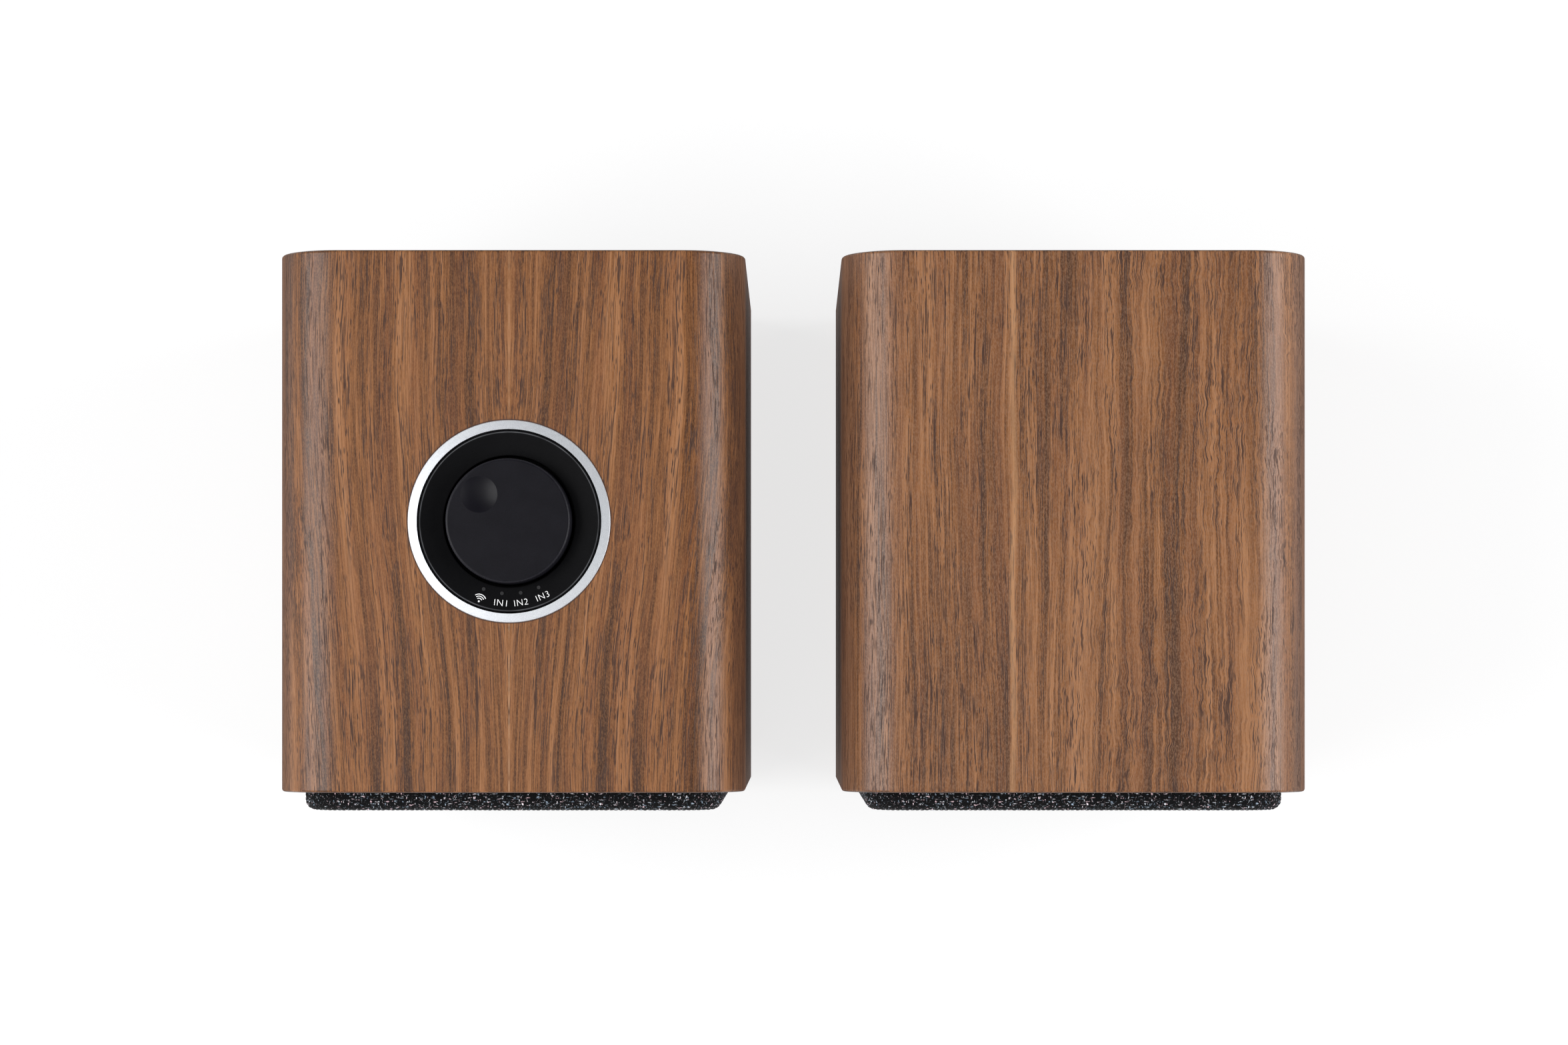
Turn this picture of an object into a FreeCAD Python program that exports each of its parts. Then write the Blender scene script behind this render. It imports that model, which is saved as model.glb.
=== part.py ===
# A pair of small desktop loudspeakers: an active one with a control dial on top (left, seen
# from the front) and its passive partner (right). Millimetres, +Z up, fronts towards -Y.
# The origin is on the desk, under the middle of the pair.
import FreeCAD
import Part
import Sketcher
import math
import operator
import os
from types import SimpleNamespace

SIZES = {
    # Cabinets: a veneered tube with rounded long edges, closed by a baffle and a rear panel
    "cabinet_width": 130.0,
    "cabinet_depth": 150.0,
    "cabinet_height": 169.0,
    "cabinet_corner": 17.5,
    "cabinet_wall": 8.0,
    "edge_round": 0.8,
    "speaker_pitch": 157.0,
    "baffle_thickness": 10.0,
    "panel_thickness": 8.0,
    "panel_recess": 2.0,
    "foot_radius": 6.0,
    "foot_height": 3.0,
    "foot_inset": 20.0,
    # Grille: cloth stretched over a frame that hangs on four pegs
    "grille_inset": 6.5,
    "grille_proud": 5.2,
    "grille_round": 3.0,
    "cloth_thickness": 0.8,
    "rail_width": 7.0,
    "peg_radius": 2.0,
    "peg_clearance": 0.15,
    "peg_length": 6.0,
    "peg_hole_depth": 7.0,
    "peg_inset": 13.0,
    # Woofer: depths are behind the flange's front face
    "woofer_height": 60.0,
    "woofer_recess": 2.7,
    "flange_radius": 41.0,
    "flange_thickness": 2.5,
    "flange_clearance": 0.2,
    "cutout_radius": 36.0,
    "basket_mouth": 33.0,
    "basket_lip": 1.5,
    "basket_shoulder": 35.5,
    "ledge_depth": 14.0,
    "ledge_outer": 30.2,
    "ledge_inner": 28.7,
    "basket_skin": 1.5,
    "throat_radius": 25.2,
    "seat_depth": 24.0,
    "seat_hole": 12.0,
    "window_start": 4.5,
    "window_end": 12.5,
    "window_inner": 27.0,
    "window_outer": 38.0,
    "window_angle": 40.0,
    "steel_radius": 22.0,
    "steel_thickness": 4.0,
    "gap_radius": 10.8,
    "pole_radius": 9.3,
    "vent_radius": 3.0,
    "magnet_radius": 24.0,
    "magnet_hole": 12.5,
    "magnet_thickness": 10.0,
    "former_radius": 9.75,
    "former_wall": 0.2,
    "former_start": 8.3,
    "former_end": 32.5,
    "winding_wall": 0.4,
    "winding_length": 7.0,
    "spider_thickness": 0.5,
    "spider_rim": 28.2,
    "spider_rim_width": 3.5,
    "spider_wave": 1.4,
    "cone_radius": 28.7,
    "cone_level": 0.1,
    "cone_depth": 8.0,
    "cone_thickness": 0.7,
    "cone_neck": 1.2,
    "neck_end": 11.6,
    "roll_thickness": 0.5,
    "roll_start": 29.2,
    "roll_width": 4.6,
    "roll_bend": 2.32,
    "roll_rim": 36.0,
    "bolt_circle": 38.5,
    # Tweeter: depths are behind the plate's front face
    "tweeter_height": 132.0,
    "plate_radius": 24.0,
    "plate_thickness": 3.0,
    "horn_mouth": 13.0,
    "horn_throat": 10.6,
    "tweeter_cutout": 16.5,
    "tweeter_magnet": 15.0,
    "tweeter_depth": 18.0,
    "dome_radius": 9.9,
    "dome_rim": 11.8,
    "dome_skin": 0.3,
    "dome_top": 0.7,
    "dome_level": 3.45,
    "dome_well": 12.4,
    "dome_room": 0.45,
    "dome_coil_end": 8.0,
    "coil_slot_end": 10.0,
    "coil_slot_inner": 9.1,
    "coil_slot_outer": 10.4,
    "tweeter_bolt_circle": 20.3,
    # Screws
    "screw_radius": 1.2,
    "screw_clearance": 0.2,
    "pilot_clearance": 0.05,
    "screw_head": 2.2,
    "screw_head_height": 1.2,
    "screw_length": 6.5,
    # Reflex port: a tube from the rear panel
    "port_height": 134.0,
    "port_bore": 11.5,
    "port_wall": 1.5,
    "port_flange": 18.0,
    "port_flare": 4.0,
    "port_curve": 6.0,
    "port_length": 68.0,
    # Dial on the left speaker's top: heights are above the wood
    "ring_outer": 28.0,
    "ring_inner": 25.5,
    "ring_skirt": 1.2,
    "ring_proud": 0.3,
    "ring_seat": 1.2,
    "ring_clearance": 0.1,
    "dish_radius": 25.2,
    "dish_lip": 0.4,
    "dish_edge": 0.2,
    "dish_inner": 18.3,
    "dish_drop": 1.0,
    "dish_skin": 1.3,
    "dish_floor": 8.6,
    "dish_flange": 31.0,
    "dish_flange_bottom": 9.8,
    "dish_bottom": 10.0,
    "shaft_hole": 4.0,
    "lens_radius": 0.5,
    "lens_circle": 19.97,
    "lens_top": 0.66,
    "lens_length": 1.9,
    "knob_radius": 17.15,
    "knob_base": 17.6,
    "knob_top": 5.0,
    "knob_round": 0.7,
    "knob_bottom": 7.4,
    "knob_skin": 1.8,
    "knob_hub": 5.5,
    "dimple_radius": 14.7,
    "dimple_depth": 0.9,
    "dimple_offset": 10.65,
    "shaft_radius": 3.0,
    "shaft_top": 2.0,
    "shaft_bottom": 15.2,
    "shaft_flat": 2.4,
    "running_clearance": 0.05,
    "encoder_size": 14.0,
    "encoder_bottom": 18.0,
    "bush_radius": 3.9,
    "bush_top": 8.8,
    "rotor_radius": 5.0,
    "rotor_top": 12.0,
    "rotor_thickness": 2.0,
    "rotor_room": 0.3,
    "switch_room": 1.2,
    # Amplifier plate on the left speaker's rear
    "amp_width": 100.0,
    "amp_height": 98.0,
    "amp_bottom": 14.0,
    "amp_thickness": 2.0,
    "amp_corner": 4.0,
    "amp_rim": 6.0,
    "amp_screw_inset": 3.2,
    "board_level": 16.0,
    "board_thickness": 1.6,
    "board_width": 82.0,
    "amp_board_row": 90.0,
    "amp_board_height": 28.0,
    "power_row": 41.0,
    "power_height": 38.0,
    "pillar_radius": 2.5,
    "pillar_inset": 3.0,
    # Sockets
    "socket_row": 96.0,
    "phono_spacing": 16.0,
    "phono_left": -36.0,
    "phono_sleeve": 4.15,
    "phono_body": 4.6,
    "phono_reach": 8.0,
    "phono_hole": 1.6,
    "phono_hole_depth": 9.0,
    "jack_place": 2.0,
    "jack_radius": 3.0,
    "jack_bore": 1.8,
    "jack_reach": 1.0,
    "jack_depth": 14.5,
    "data_place": 24.0,
    "data_width": 9.0,
    "data_height": 3.3,
    "data_skin": 0.3,
    "data_cavity": 6.5,
    "tongue_width": 6.6,
    "tongue_height": 0.7,
    # Mains inlet and power switch, one housing
    "mains_row": 32.0,
    "mains_flange_width": 54.0,
    "mains_flange_height": 20.0,
    "mains_body_width": 50.0,
    "mains_body_height": 16.6,
    "mains_flange": 1.5,
    "mains_corner": 3.0,
    "mains_depth": 14.0,
    "inlet_place": -11.0,
    "inlet_width": 15.2,
    "inlet_height": 7.6,
    "inlet_depth": 12.0,
    "inlet_corner": 3.7,
    "pin_radius": 1.2,
    "pin_spacing": 8.6,
    "pin_length": 10.0,
    "well_place": 15.0,
    "well_width": 10.4,
    "well_height": 14.6,
    "well_depth": 9.0,
    "rocker_gap": 0.3,
    "rocker_radius": 7.0,
    "rocker_valley": 1.6,
    "rocker_pivot": 1.0,
    "rocker_pin": 1.0,
    "rocker_pin_reach": 0.8,
    # Binding posts
    "post_row": 66.0,
    "post_spacing": 19.05,
    "post_radius": 3.0,
    "post_collar": 5.5,
    "post_collar_height": 2.5,
    "post_end": 13.6,
    "banana_bore": 2.05,
    "banana_depth": 12.0,
    "post_hole": 3.2,
    "lock_nut": 5.0,
    "lock_nut_height": 3.0,
    "post_tail": 4.0,
    "washer_radius": 5.2,
    "washer_level": 2.6,
    "washer_height": 0.8,
    "nut_radius": 6.0,
    "nut_level": 3.5,
    "nut_end": 14.0,
    "flute_radius": 0.9,
    "flute_collar": 1.6,
    # Crossover board in the right speaker
    "crossover_width": 72.0,
    "crossover_height": 34.0,
    "crossover_row": 34.0,
    "crossover_gap": 8.0,
}

OPERATORS = {"+": operator.add, "-": operator.sub, "*": operator.mul, "/": operator.truediv}


def value_of(size):
    """The plain number of a size."""
    return size.value if isinstance(size, Size) else float(size)


def text_of(size):
    """The spreadsheet expression of a size."""
    return size.text if isinstance(size, Size) else f"{float(size):.9g}"


def combine(left, sign, right):
    """Two sizes joined by an arithmetic sign, as a number and as an expression."""
    value = OPERATORS[sign](value_of(left), value_of(right))
    return Size(value, f"({text_of(left)} {sign} {text_of(right)})")


class Size:
    """A number that keeps the spreadsheet expression it comes from."""

    def __init__(self, value, text):
        self.value = value
        self.text = text

    def __add__(self, other):
        return combine(self, "+", other)

    def __radd__(self, other):
        return combine(other, "+", self)

    def __sub__(self, other):
        return combine(self, "-", other)

    def __rsub__(self, other):
        return combine(other, "-", self)

    def __mul__(self, other):
        return combine(self, "*", other)

    def __truediv__(self, other):
        return combine(self, "/", other)

    def __neg__(self):
        return combine(0, "-", self)


def write_sheet():
    """Put every driving dimension in the spreadsheet, under its alias."""
    sheet = doc.addObject("Spreadsheet::Sheet", "dims")
    for row, (alias, value) in enumerate(SIZES.items(), start=1):
        sheet.set(f"A{row}", alias.replace("_", " "))
        sheet.set(f"B{row}", str(value))
        sheet.setAlias(f"B{row}", alias)


doc = FreeCAD.newDocument("desktop_speakers")
write_sheet()
doc.recompute()
D = SimpleNamespace(**{alias: Size(value, f"dims.{alias}") for alias, value in SIZES.items()})
pieces = []

# Places worked out from the driving dimensions
BOTTOM = D.foot_height
TOP = D.foot_height + D.cabinet_height
MIDDLE = D.foot_height + D.cabinet_height / 2
DEPTH_OVER_ALL = D.grille_proud + D.cabinet_depth + D.nut_end - D.panel_recess
FRONT = D.grille_proud - DEPTH_OVER_ALL / 2
REAR = FRONT + D.cabinet_depth
PANEL = REAR - D.panel_recess
CENTRE = FRONT + D.cabinet_depth / 2
INNER_WIDTH = D.cabinet_width - D.cabinet_wall * 2
INNER_HEIGHT = D.cabinet_height - D.cabinet_wall * 2
INNER_CORNER = D.cabinet_corner - D.cabinet_wall
AMP_MIDDLE = D.amp_bottom + D.amp_height / 2
SIDES = {"left": -D.speaker_pitch / 2, "right": D.speaker_pitch / 2}
POST_X = {"black": -D.post_spacing / 2, "red": D.post_spacing / 2}

# Angles in degrees, and numbers of repeated features
LENS_ANGLES = (-20.7, -5.8, 9.1, 24.0)
DIMPLE_ANGLE = 137.5
ROCKER_TILT = 11.0
ROCKER_ENDS = (64.5, 115.5)
DRIVER_SCREWS = 4
BASKET_WINDOWS = 6
SPIDER_FOLDS = 6
NUT_FLUTES = 12

# Parts on the boards: across, up, width, height and rise; for the crossover across, radius and rise
AMP_PARTS = ((-22, 0, 30, 20, 12), (8, 4, 12, 12, 2), (26, 2, 14, 9, 3), (12, -9, 8, 5, 5))
POWER_PARTS = ((-20, -2, 28, 24, 22), (8, 6, 12, 12, 20), (8, -9, 10, 10, 14), (28, 0, 14, 22, 9))
CROSSOVER_PARTS = ((-24, 10, 14), (2, 8, 12), (20, 5, 18), (31, 4, 14))
AMP_PILLAR_RISE = -10
POWER_PILLAR_RISE = 15

NORMAL_SIGN = {"XY_Plane": 1, "XZ_Plane": -1, "YZ_Plane": 1}
LEVEL_SLACK = 0.01
LEAST_CUT = 1e-6


# Modelling helpers

def bind(obj, path, size):
    """Tie one property to the spreadsheet."""
    obj.setExpression(path, text_of(size))


def new_body(name, x=0, y=0, z=0):
    """A piece made of sketches and features, with its own placement."""
    body = doc.addObject("PartDesign::Body", name)
    body.Label = name
    for axis, distance in zip("xyz", (x, y, z)):
        bind(body, f"Placement.Base.{axis}", distance)
    pieces.append(body)
    return body


def origin_feature(body, role):
    """A plane or an axis of the body's own origin."""
    return next(item for item in body.Origin.OriginFeatures if item.Role == role)


def new_sketch(body, role, level=0):
    """A sketch parallel to an origin plane, at a level along that plane's axis."""
    sketch = body.newObject("Sketcher::SketchObject", f"{body.Name}_sketch")
    sketch.AttachmentSupport = [(origin_feature(body, role), "")]
    sketch.MapMode = "FlatFace"
    bind(sketch, "AttachmentOffset.Base.z", combine(level, "*", NORMAL_SIGN[role]))
    return sketch


def hold_point(sketch, curve, point, x, y):
    """Hold one point of a sketch curve at a place measured from the sketch's origin."""
    for kind, distance in (("DistanceX", x), ("DistanceY", y)):
        constraint = Sketcher.Constraint(kind, -1, 1, curve, point, value_of(distance))
        index = sketch.addConstraint(constraint)
        bind(sketch, f"Constraints[{index}]", distance)


def circle(sketch, x, y, radius):
    """A circle with its centre and radius held."""
    centre = FreeCAD.Vector(value_of(x), value_of(y), 0)
    curve = sketch.addGeometry(Part.Circle(centre, FreeCAD.Vector(0, 0, 1), value_of(radius)), False)
    hold_point(sketch, curve, 3, x, y)
    index = sketch.addConstraint(Sketcher.Constraint("Radius", curve, value_of(radius)))
    bind(sketch, f"Constraints[{index}]", radius)


def sketch_arc(start, end, radius):
    """The short arc from start to end: anticlockwise if radius is positive, else clockwise."""
    chord = end - start
    aside = FreeCAD.Vector(-chord.y, chord.x, 0)
    aside.normalize()
    height = math.sqrt(radius ** 2 - (chord.Length / 2) ** 2)
    centre = (start + end) * 0.5 + aside * math.copysign(height, radius)
    angles = [math.atan2(point.y - centre.y, point.x - centre.x) for point in (start, end)]
    if radius < 0:
        angles.reverse()
    whole = Part.Circle(centre, FreeCAD.Vector(0, 0, 1), abs(radius))
    return Part.ArcOfCircle(whole, angles[0], angles[1])


def outline(sketch, points):
    """A closed outline. A point's third value is the radius of the arc to the next point."""
    ends = [FreeCAD.Vector(value_of(point[0]), value_of(point[1]), 0) for point in points]
    count = len(points)
    curves = []
    for number, point in enumerate(points):
        start, end = ends[number], ends[(number + 1) % count]
        if len(point) == 2:
            curves.append((sketch.addGeometry(Part.LineSegment(start, end), False), 1, 2))
            continue
        curve = sketch.addGeometry(sketch_arc(start, end, value_of(point[2])), False)
        curves.append((curve, 1, 2) if value_of(point[2]) > 0 else (curve, 2, 1))
    for number, (curve, _, last) in enumerate(curves):
        following, first, _ = curves[(number + 1) % count]
        sketch.addConstraint(Sketcher.Constraint("Coincident", curve, last, following, first))
    for (curve, first, _), point in zip(curves, points):
        hold_point(sketch, curve, first, point[0], point[1])
        if len(point) == 3:
            radius = point[2] if value_of(point[2]) > 0 else -point[2]
            index = sketch.addConstraint(Sketcher.Constraint("Radius", curve, value_of(radius)))
            bind(sketch, f"Constraints[{index}]", radius)


def rectangle(sketch, x, y, width, height):
    """A rectangle about a centre."""
    signs = ((-1, -1), (1, -1), (1, 1), (-1, 1))
    outline(sketch, [(x + width / 2 * i, y + height / 2 * j) for i, j in signs])


def rounded_rectangle(sketch, x, y, width, height, radius):
    """A rectangle about a centre, with round corners."""
    reach_x, reach_y = width / 2, height / 2
    points = []
    for i, j in ((-1, -1), (1, -1), (1, 1), (-1, 1)):
        beside = (x + (reach_x - radius) * i, y + reach_y * j)
        above = (x + reach_x * i, y + (reach_y - radius) * j)
        first, last = (above, beside) if i == j else (beside, above)
        points += [(first[0], first[1], radius), last]
    outline(sketch, points)


def feature(body, kind, sketch):
    """A new feature of a body, made from one sketch."""
    made = body.newObject(f"PartDesign::{kind}", f"{body.Name}_{kind.lower()}")
    made.Profile = sketch
    return made


def pad(body, sketch, length):
    """Material from the sketch's level towards the positive end of its axis."""
    made = feature(body, "Pad", sketch)
    made.Reversed = sketch.AttachmentSupport[0][0].Role == "XZ_Plane"
    bind(made, "Length", length)
    return made


def pocket(body, sketch, length):
    """A cut from the sketch's level towards the positive end of its axis."""
    made = feature(body, "Pocket", sketch)
    made.Reversed = sketch.AttachmentSupport[0][0].Role != "XZ_Plane"
    bind(made, "Length", length)
    return made


def turn(body, sketch, axis, kind="Revolution", angle=360):
    """A sketch turned about its own horizontal or vertical axis."""
    made = feature(body, kind, sketch)
    made.ReferenceAxis = (sketch, [axis])
    bind(made, "Angle", angle)
    return made


def polar(body, original, role, count):
    """Copies of a feature round one of the body's own axes."""
    pattern = body.newObject("PartDesign::PolarPattern", f"{body.Name}_pattern")
    pattern.Originals = [original]
    pattern.Axis = (origin_feature(body, role), [""])
    pattern.Angle = 360
    pattern.Occurrences = count
    body.Tip = pattern
    return pattern


def round_edges(body, base, wanted, radius):
    """Round the edges of a feature whose box passes the test."""
    doc.recompute()
    names = [f"Edge{n}" for n, edge in enumerate(base.Shape.Edges, 1) if wanted(edge.BoundBox)]
    made = body.newObject("PartDesign::Fillet", f"{body.Name}_fillet")
    made.Base = (base, names)
    bind(made, "Radius", radius)
    return made


def ring_around_y(name, points, x, y, z):
    """A piece turned about an axis along Y. Points are distance along Y, then radius."""
    body = new_body(name, x, y, z)
    profile = new_sketch(body, "YZ_Plane")
    outline(profile, points)
    turn(body, profile, "H_Axis")
    return body


def ring_around_z(name, points):
    """A dial piece turned about the dial's upright axis. Points are radius, then height."""
    body = new_body(name, SIDES["left"], CENTRE, TOP)
    profile = new_sketch(body, "XZ_Plane")
    outline(profile, points)
    turn(body, profile, "V_Axis")
    return body


def around(radius, count, start=45.0):
    """Places spaced evenly on a circle."""
    angles = [math.radians(start + 360.0 * number / count) for number in range(count)]
    return [(radius * math.cos(angle), radius * math.sin(angle)) for angle in angles]


def at_level(box, level):
    """Whether an edge's box lies flat at one level along Y."""
    return max(abs(box.YMin - value_of(level)), abs(box.YMax - value_of(level))) < LEVEL_SLACK


def root(size):
    """The square root of a size."""
    return Size(math.sqrt(size.value), f"sqrt({size.text})")


def cap_radius(reach, rise):
    """The radius of a round cap that rises this much over this reach."""
    return (reach * reach / rise + rise) / 2


# Cabinet pieces

def cabinet(side):
    """The veneered tube. The left one is bored through its top for the dial."""
    body = new_body(f"{side}_cabinet", SIDES[side])
    section = new_sketch(body, "XZ_Plane", FRONT)
    rounded_rectangle(section, 0, MIDDLE, D.cabinet_width, D.cabinet_height, D.cabinet_corner)
    rounded_rectangle(section, 0, MIDDLE, INNER_WIDTH, INNER_HEIGHT, INNER_CORNER)
    last = pad(body, section, D.cabinet_depth)
    if side == "left":
        seat = new_sketch(body, "XY_Plane", TOP - D.ring_seat)
        circle(seat, 0, CENTRE, D.ring_outer + D.ring_clearance)
        pocket(body, seat, D.ring_seat)
        bore = new_sketch(body, "XY_Plane", TOP - D.cabinet_wall)
        circle(bore, 0, CENTRE, D.ring_inner + D.ring_skirt + D.ring_clearance)
        last = pocket(body, bore, D.cabinet_wall)
    reach_x = value_of(INNER_WIDTH) / 2 + 1
    reach_z = value_of(INNER_HEIGHT) / 2 + 1

    def outer_rim(box):
        wide = max(abs(box.XMin), abs(box.XMax)) > reach_x
        tall = max(abs(box.ZMin - MIDDLE.value), abs(box.ZMax - MIDDLE.value)) > reach_z
        return (wide or tall) and (at_level(box, FRONT) or at_level(box, REAR))

    round_edges(body, last, outer_rim, D.edge_round)


def front_baffle(side):
    """The board that carries the drivers, with rebates, screw pilots and grille holes."""
    body = new_body(f"{side}_front_baffle", SIDES[side])
    board = new_sketch(body, "XZ_Plane", FRONT)
    rounded_rectangle(board, 0, MIDDLE, INNER_WIDTH, INNER_HEIGHT, INNER_CORNER)
    circle(board, 0, D.woofer_height, D.cutout_radius)
    circle(board, 0, D.tweeter_height, D.tweeter_cutout)
    pad(body, board, D.baffle_thickness)
    rebate = new_sketch(body, "XZ_Plane", FRONT)
    circle(rebate, 0, D.woofer_height, D.flange_radius + D.flange_clearance)
    pocket(body, rebate, D.woofer_recess + D.flange_thickness)
    rebate = new_sketch(body, "XZ_Plane", FRONT)
    circle(rebate, 0, D.tweeter_height, D.plate_radius + D.flange_clearance)
    pocket(body, rebate, D.plate_thickness)
    pilots = new_sketch(body, "XZ_Plane", FRONT)
    for x, z in around(D.bolt_circle, DRIVER_SCREWS):
        circle(pilots, x, D.woofer_height + z, D.screw_radius + D.pilot_clearance)
    for x, z in around(D.tweeter_bolt_circle, DRIVER_SCREWS):
        circle(pilots, x, D.tweeter_height + z, D.screw_radius + D.pilot_clearance)
    pocket(body, pilots, D.baffle_thickness)
    holes = new_sketch(body, "XZ_Plane", FRONT)
    for x, z in peg_places():
        circle(holes, x, z, D.peg_radius + D.peg_clearance)
    pocket(body, holes, D.peg_hole_depth)


def rear_panel(side):
    """The rear board. The left one is rebated for the amplifier plate."""
    body = new_body(f"{side}_rear_panel", SIDES[side])
    board = new_sketch(body, "XZ_Plane", PANEL - D.panel_thickness)
    rounded_rectangle(board, 0, MIDDLE, INNER_WIDTH, INNER_HEIGHT, INNER_CORNER)
    circle(board, 0, D.port_height, D.port_bore + D.port_wall)
    if side == "left":
        rectangle(board, 0, AMP_MIDDLE, D.amp_width - D.amp_rim * 2, D.amp_height - D.amp_rim * 2)
    else:
        for x in POST_X.values():
            circle(board, x, D.post_row, D.post_hole)
    pad(body, board, D.panel_thickness)
    if side == "right":
        return
    rebate = new_sketch(body, "XZ_Plane", PANEL - D.amp_thickness)
    rounded_rectangle(rebate, 0, AMP_MIDDLE, D.amp_width, D.amp_height, D.amp_corner)
    pocket(body, rebate, D.amp_thickness)
    pilots = new_sketch(body, "XZ_Plane", PANEL - D.panel_thickness)
    for x, z in amp_screw_places():
        circle(pilots, x, z, D.screw_radius + D.pilot_clearance)
    pocket(body, pilots, D.panel_thickness)


def feet(side):
    """Four rubber feet under the cabinet."""
    body = new_body(f"{side}_feet", SIDES[side])
    pads = new_sketch(body, "XY_Plane")
    reach_x = D.cabinet_width / 2 - D.foot_inset
    for x in (-reach_x, reach_x):
        for y in (FRONT + D.foot_inset, REAR - D.foot_inset):
            circle(pads, x, y, D.foot_radius)
    pad(body, pads, D.foot_height)


def peg_places():
    """Centres of the grille's four pegs."""
    reach_x = D.cabinet_width / 2 - D.peg_inset
    return [(x, z) for x in (-reach_x, reach_x) for z in (BOTTOM + D.peg_inset, TOP - D.peg_inset)]


def grille_frame(side):
    """The moulded frame under the cloth, with its four pegs."""
    body = new_body(f"{side}_grille_frame", SIDES[side])
    skin = D.cloth_thickness
    inset = D.grille_inset + skin
    depth = D.grille_proud - skin
    section = new_sketch(body, "XZ_Plane", FRONT - depth)
    width, height = D.cabinet_width - inset * 2, D.cabinet_height - inset * 2
    corner = D.cabinet_corner - inset
    rounded_rectangle(section, 0, MIDDLE, width, height, corner)
    opening = (width - D.rail_width * 2, height - D.rail_width * 2)
    rounded_rectangle(section, 0, MIDDLE, opening[0], opening[1], corner - D.rail_width)
    frame = pad(body, section, depth)
    reach_x, reach_z = value_of(opening[0]) / 2 + 1, value_of(opening[1]) / 2 + 1

    def outer_front(box):
        wide = max(abs(box.XMin), abs(box.XMax)) > reach_x
        tall = max(abs(box.ZMin - MIDDLE.value), abs(box.ZMax - MIDDLE.value)) > reach_z
        return (wide or tall) and at_level(box, FRONT - depth)

    round_edges(body, frame, outer_front, D.grille_round - skin)
    pegs = new_sketch(body, "XZ_Plane", FRONT)
    for x, z in peg_places():
        circle(pegs, x, z, D.peg_radius)
    pad(body, pegs, D.peg_length)


def grille_cloth(side):
    """The cloth, as a closed skin over the front and sides of its frame."""
    body = new_body(f"{side}_grille_cloth", SIDES[side])
    skin = D.cloth_thickness
    front = FRONT - D.grille_proud
    for kind, inset, level in ((pad, D.grille_inset, front), (pocket, D.grille_inset + skin, front + skin)):
        section = new_sketch(body, "XZ_Plane", level)
        width, height = D.cabinet_width - inset * 2, D.cabinet_height - inset * 2
        rounded_rectangle(section, 0, MIDDLE, width, height, D.cabinet_corner - inset)
        last = kind(body, section, FRONT - level)
    # The inside is rounded first, because the square pocket would break through the round outside
    inside = round_edges(body, last, lambda box: at_level(box, front + skin), D.grille_round - skin)
    round_edges(body, inside, lambda box: at_level(box, front), D.grille_round)


# Drivers

def woofer_basket(side):
    """The pressed frame of the woofer, with six windows."""
    back = D.seat_depth + D.basket_skin
    floor = D.ledge_depth + D.basket_skin
    body = ring_around_y(f"{side}_woofer_basket", [
        (0, D.basket_mouth),
        (0, D.flange_radius),
        (D.flange_thickness, D.flange_radius),
        (D.flange_thickness, D.basket_shoulder),
        (D.ledge_depth, D.ledge_outer),
        (floor, D.ledge_outer),
        (floor, D.throat_radius),
        (back, D.throat_radius),
        (back, D.seat_hole),
        (D.seat_depth, D.seat_hole),
        (D.seat_depth, D.throat_radius - D.basket_skin),
        (D.ledge_depth, D.throat_radius - D.basket_skin),
        (D.ledge_depth, D.ledge_inner),
        (D.basket_lip, D.basket_mouth),
    ], *woofer_place(side))
    window = new_sketch(body, "YZ_Plane")
    outline(window, [
        (D.window_start, D.window_inner),
        (D.window_end, D.window_inner),
        (D.window_end, D.window_outer),
        (D.window_start, D.window_outer),
    ])
    opening = turn(body, window, "H_Axis", "Groove", D.window_angle)
    polar(body, opening, "Y_Axis", BASKET_WINDOWS)
    holes = new_sketch(body, "XZ_Plane")
    for x, z in around(D.bolt_circle, DRIVER_SCREWS):
        circle(holes, x, z, D.screw_radius + D.screw_clearance)
    pocket(body, holes, D.flange_thickness)


def woofer_place(side):
    """Where the middle of the woofer's flange is."""
    return SIDES[side], FRONT + D.woofer_recess, D.woofer_height


def woofer_motor(side):
    """Top plate and yoke with a vented pole, and the ferrite ring between them."""
    plate = D.seat_depth + D.basket_skin
    magnet = plate + D.steel_thickness
    yoke = magnet + D.magnet_thickness
    back = yoke + D.steel_thickness
    body = ring_around_y(f"{side}_woofer_yoke", [
        (plate, D.gap_radius),
        (plate, D.steel_radius),
        (magnet, D.steel_radius),
        (magnet, D.gap_radius),
    ], *woofer_place(side))
    pole = new_sketch(body, "YZ_Plane")
    outline(pole, [
        (plate, D.vent_radius),
        (plate, D.pole_radius),
        (yoke, D.pole_radius),
        (yoke, D.steel_radius),
        (back, D.steel_radius),
        (back, D.vent_radius),
    ])
    turn(body, pole, "H_Axis")
    ring_around_y(f"{side}_woofer_magnet", [
        (magnet, D.magnet_hole),
        (magnet, D.magnet_radius),
        (yoke, D.magnet_radius),
        (yoke, D.magnet_hole),
    ], *woofer_place(side))


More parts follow.
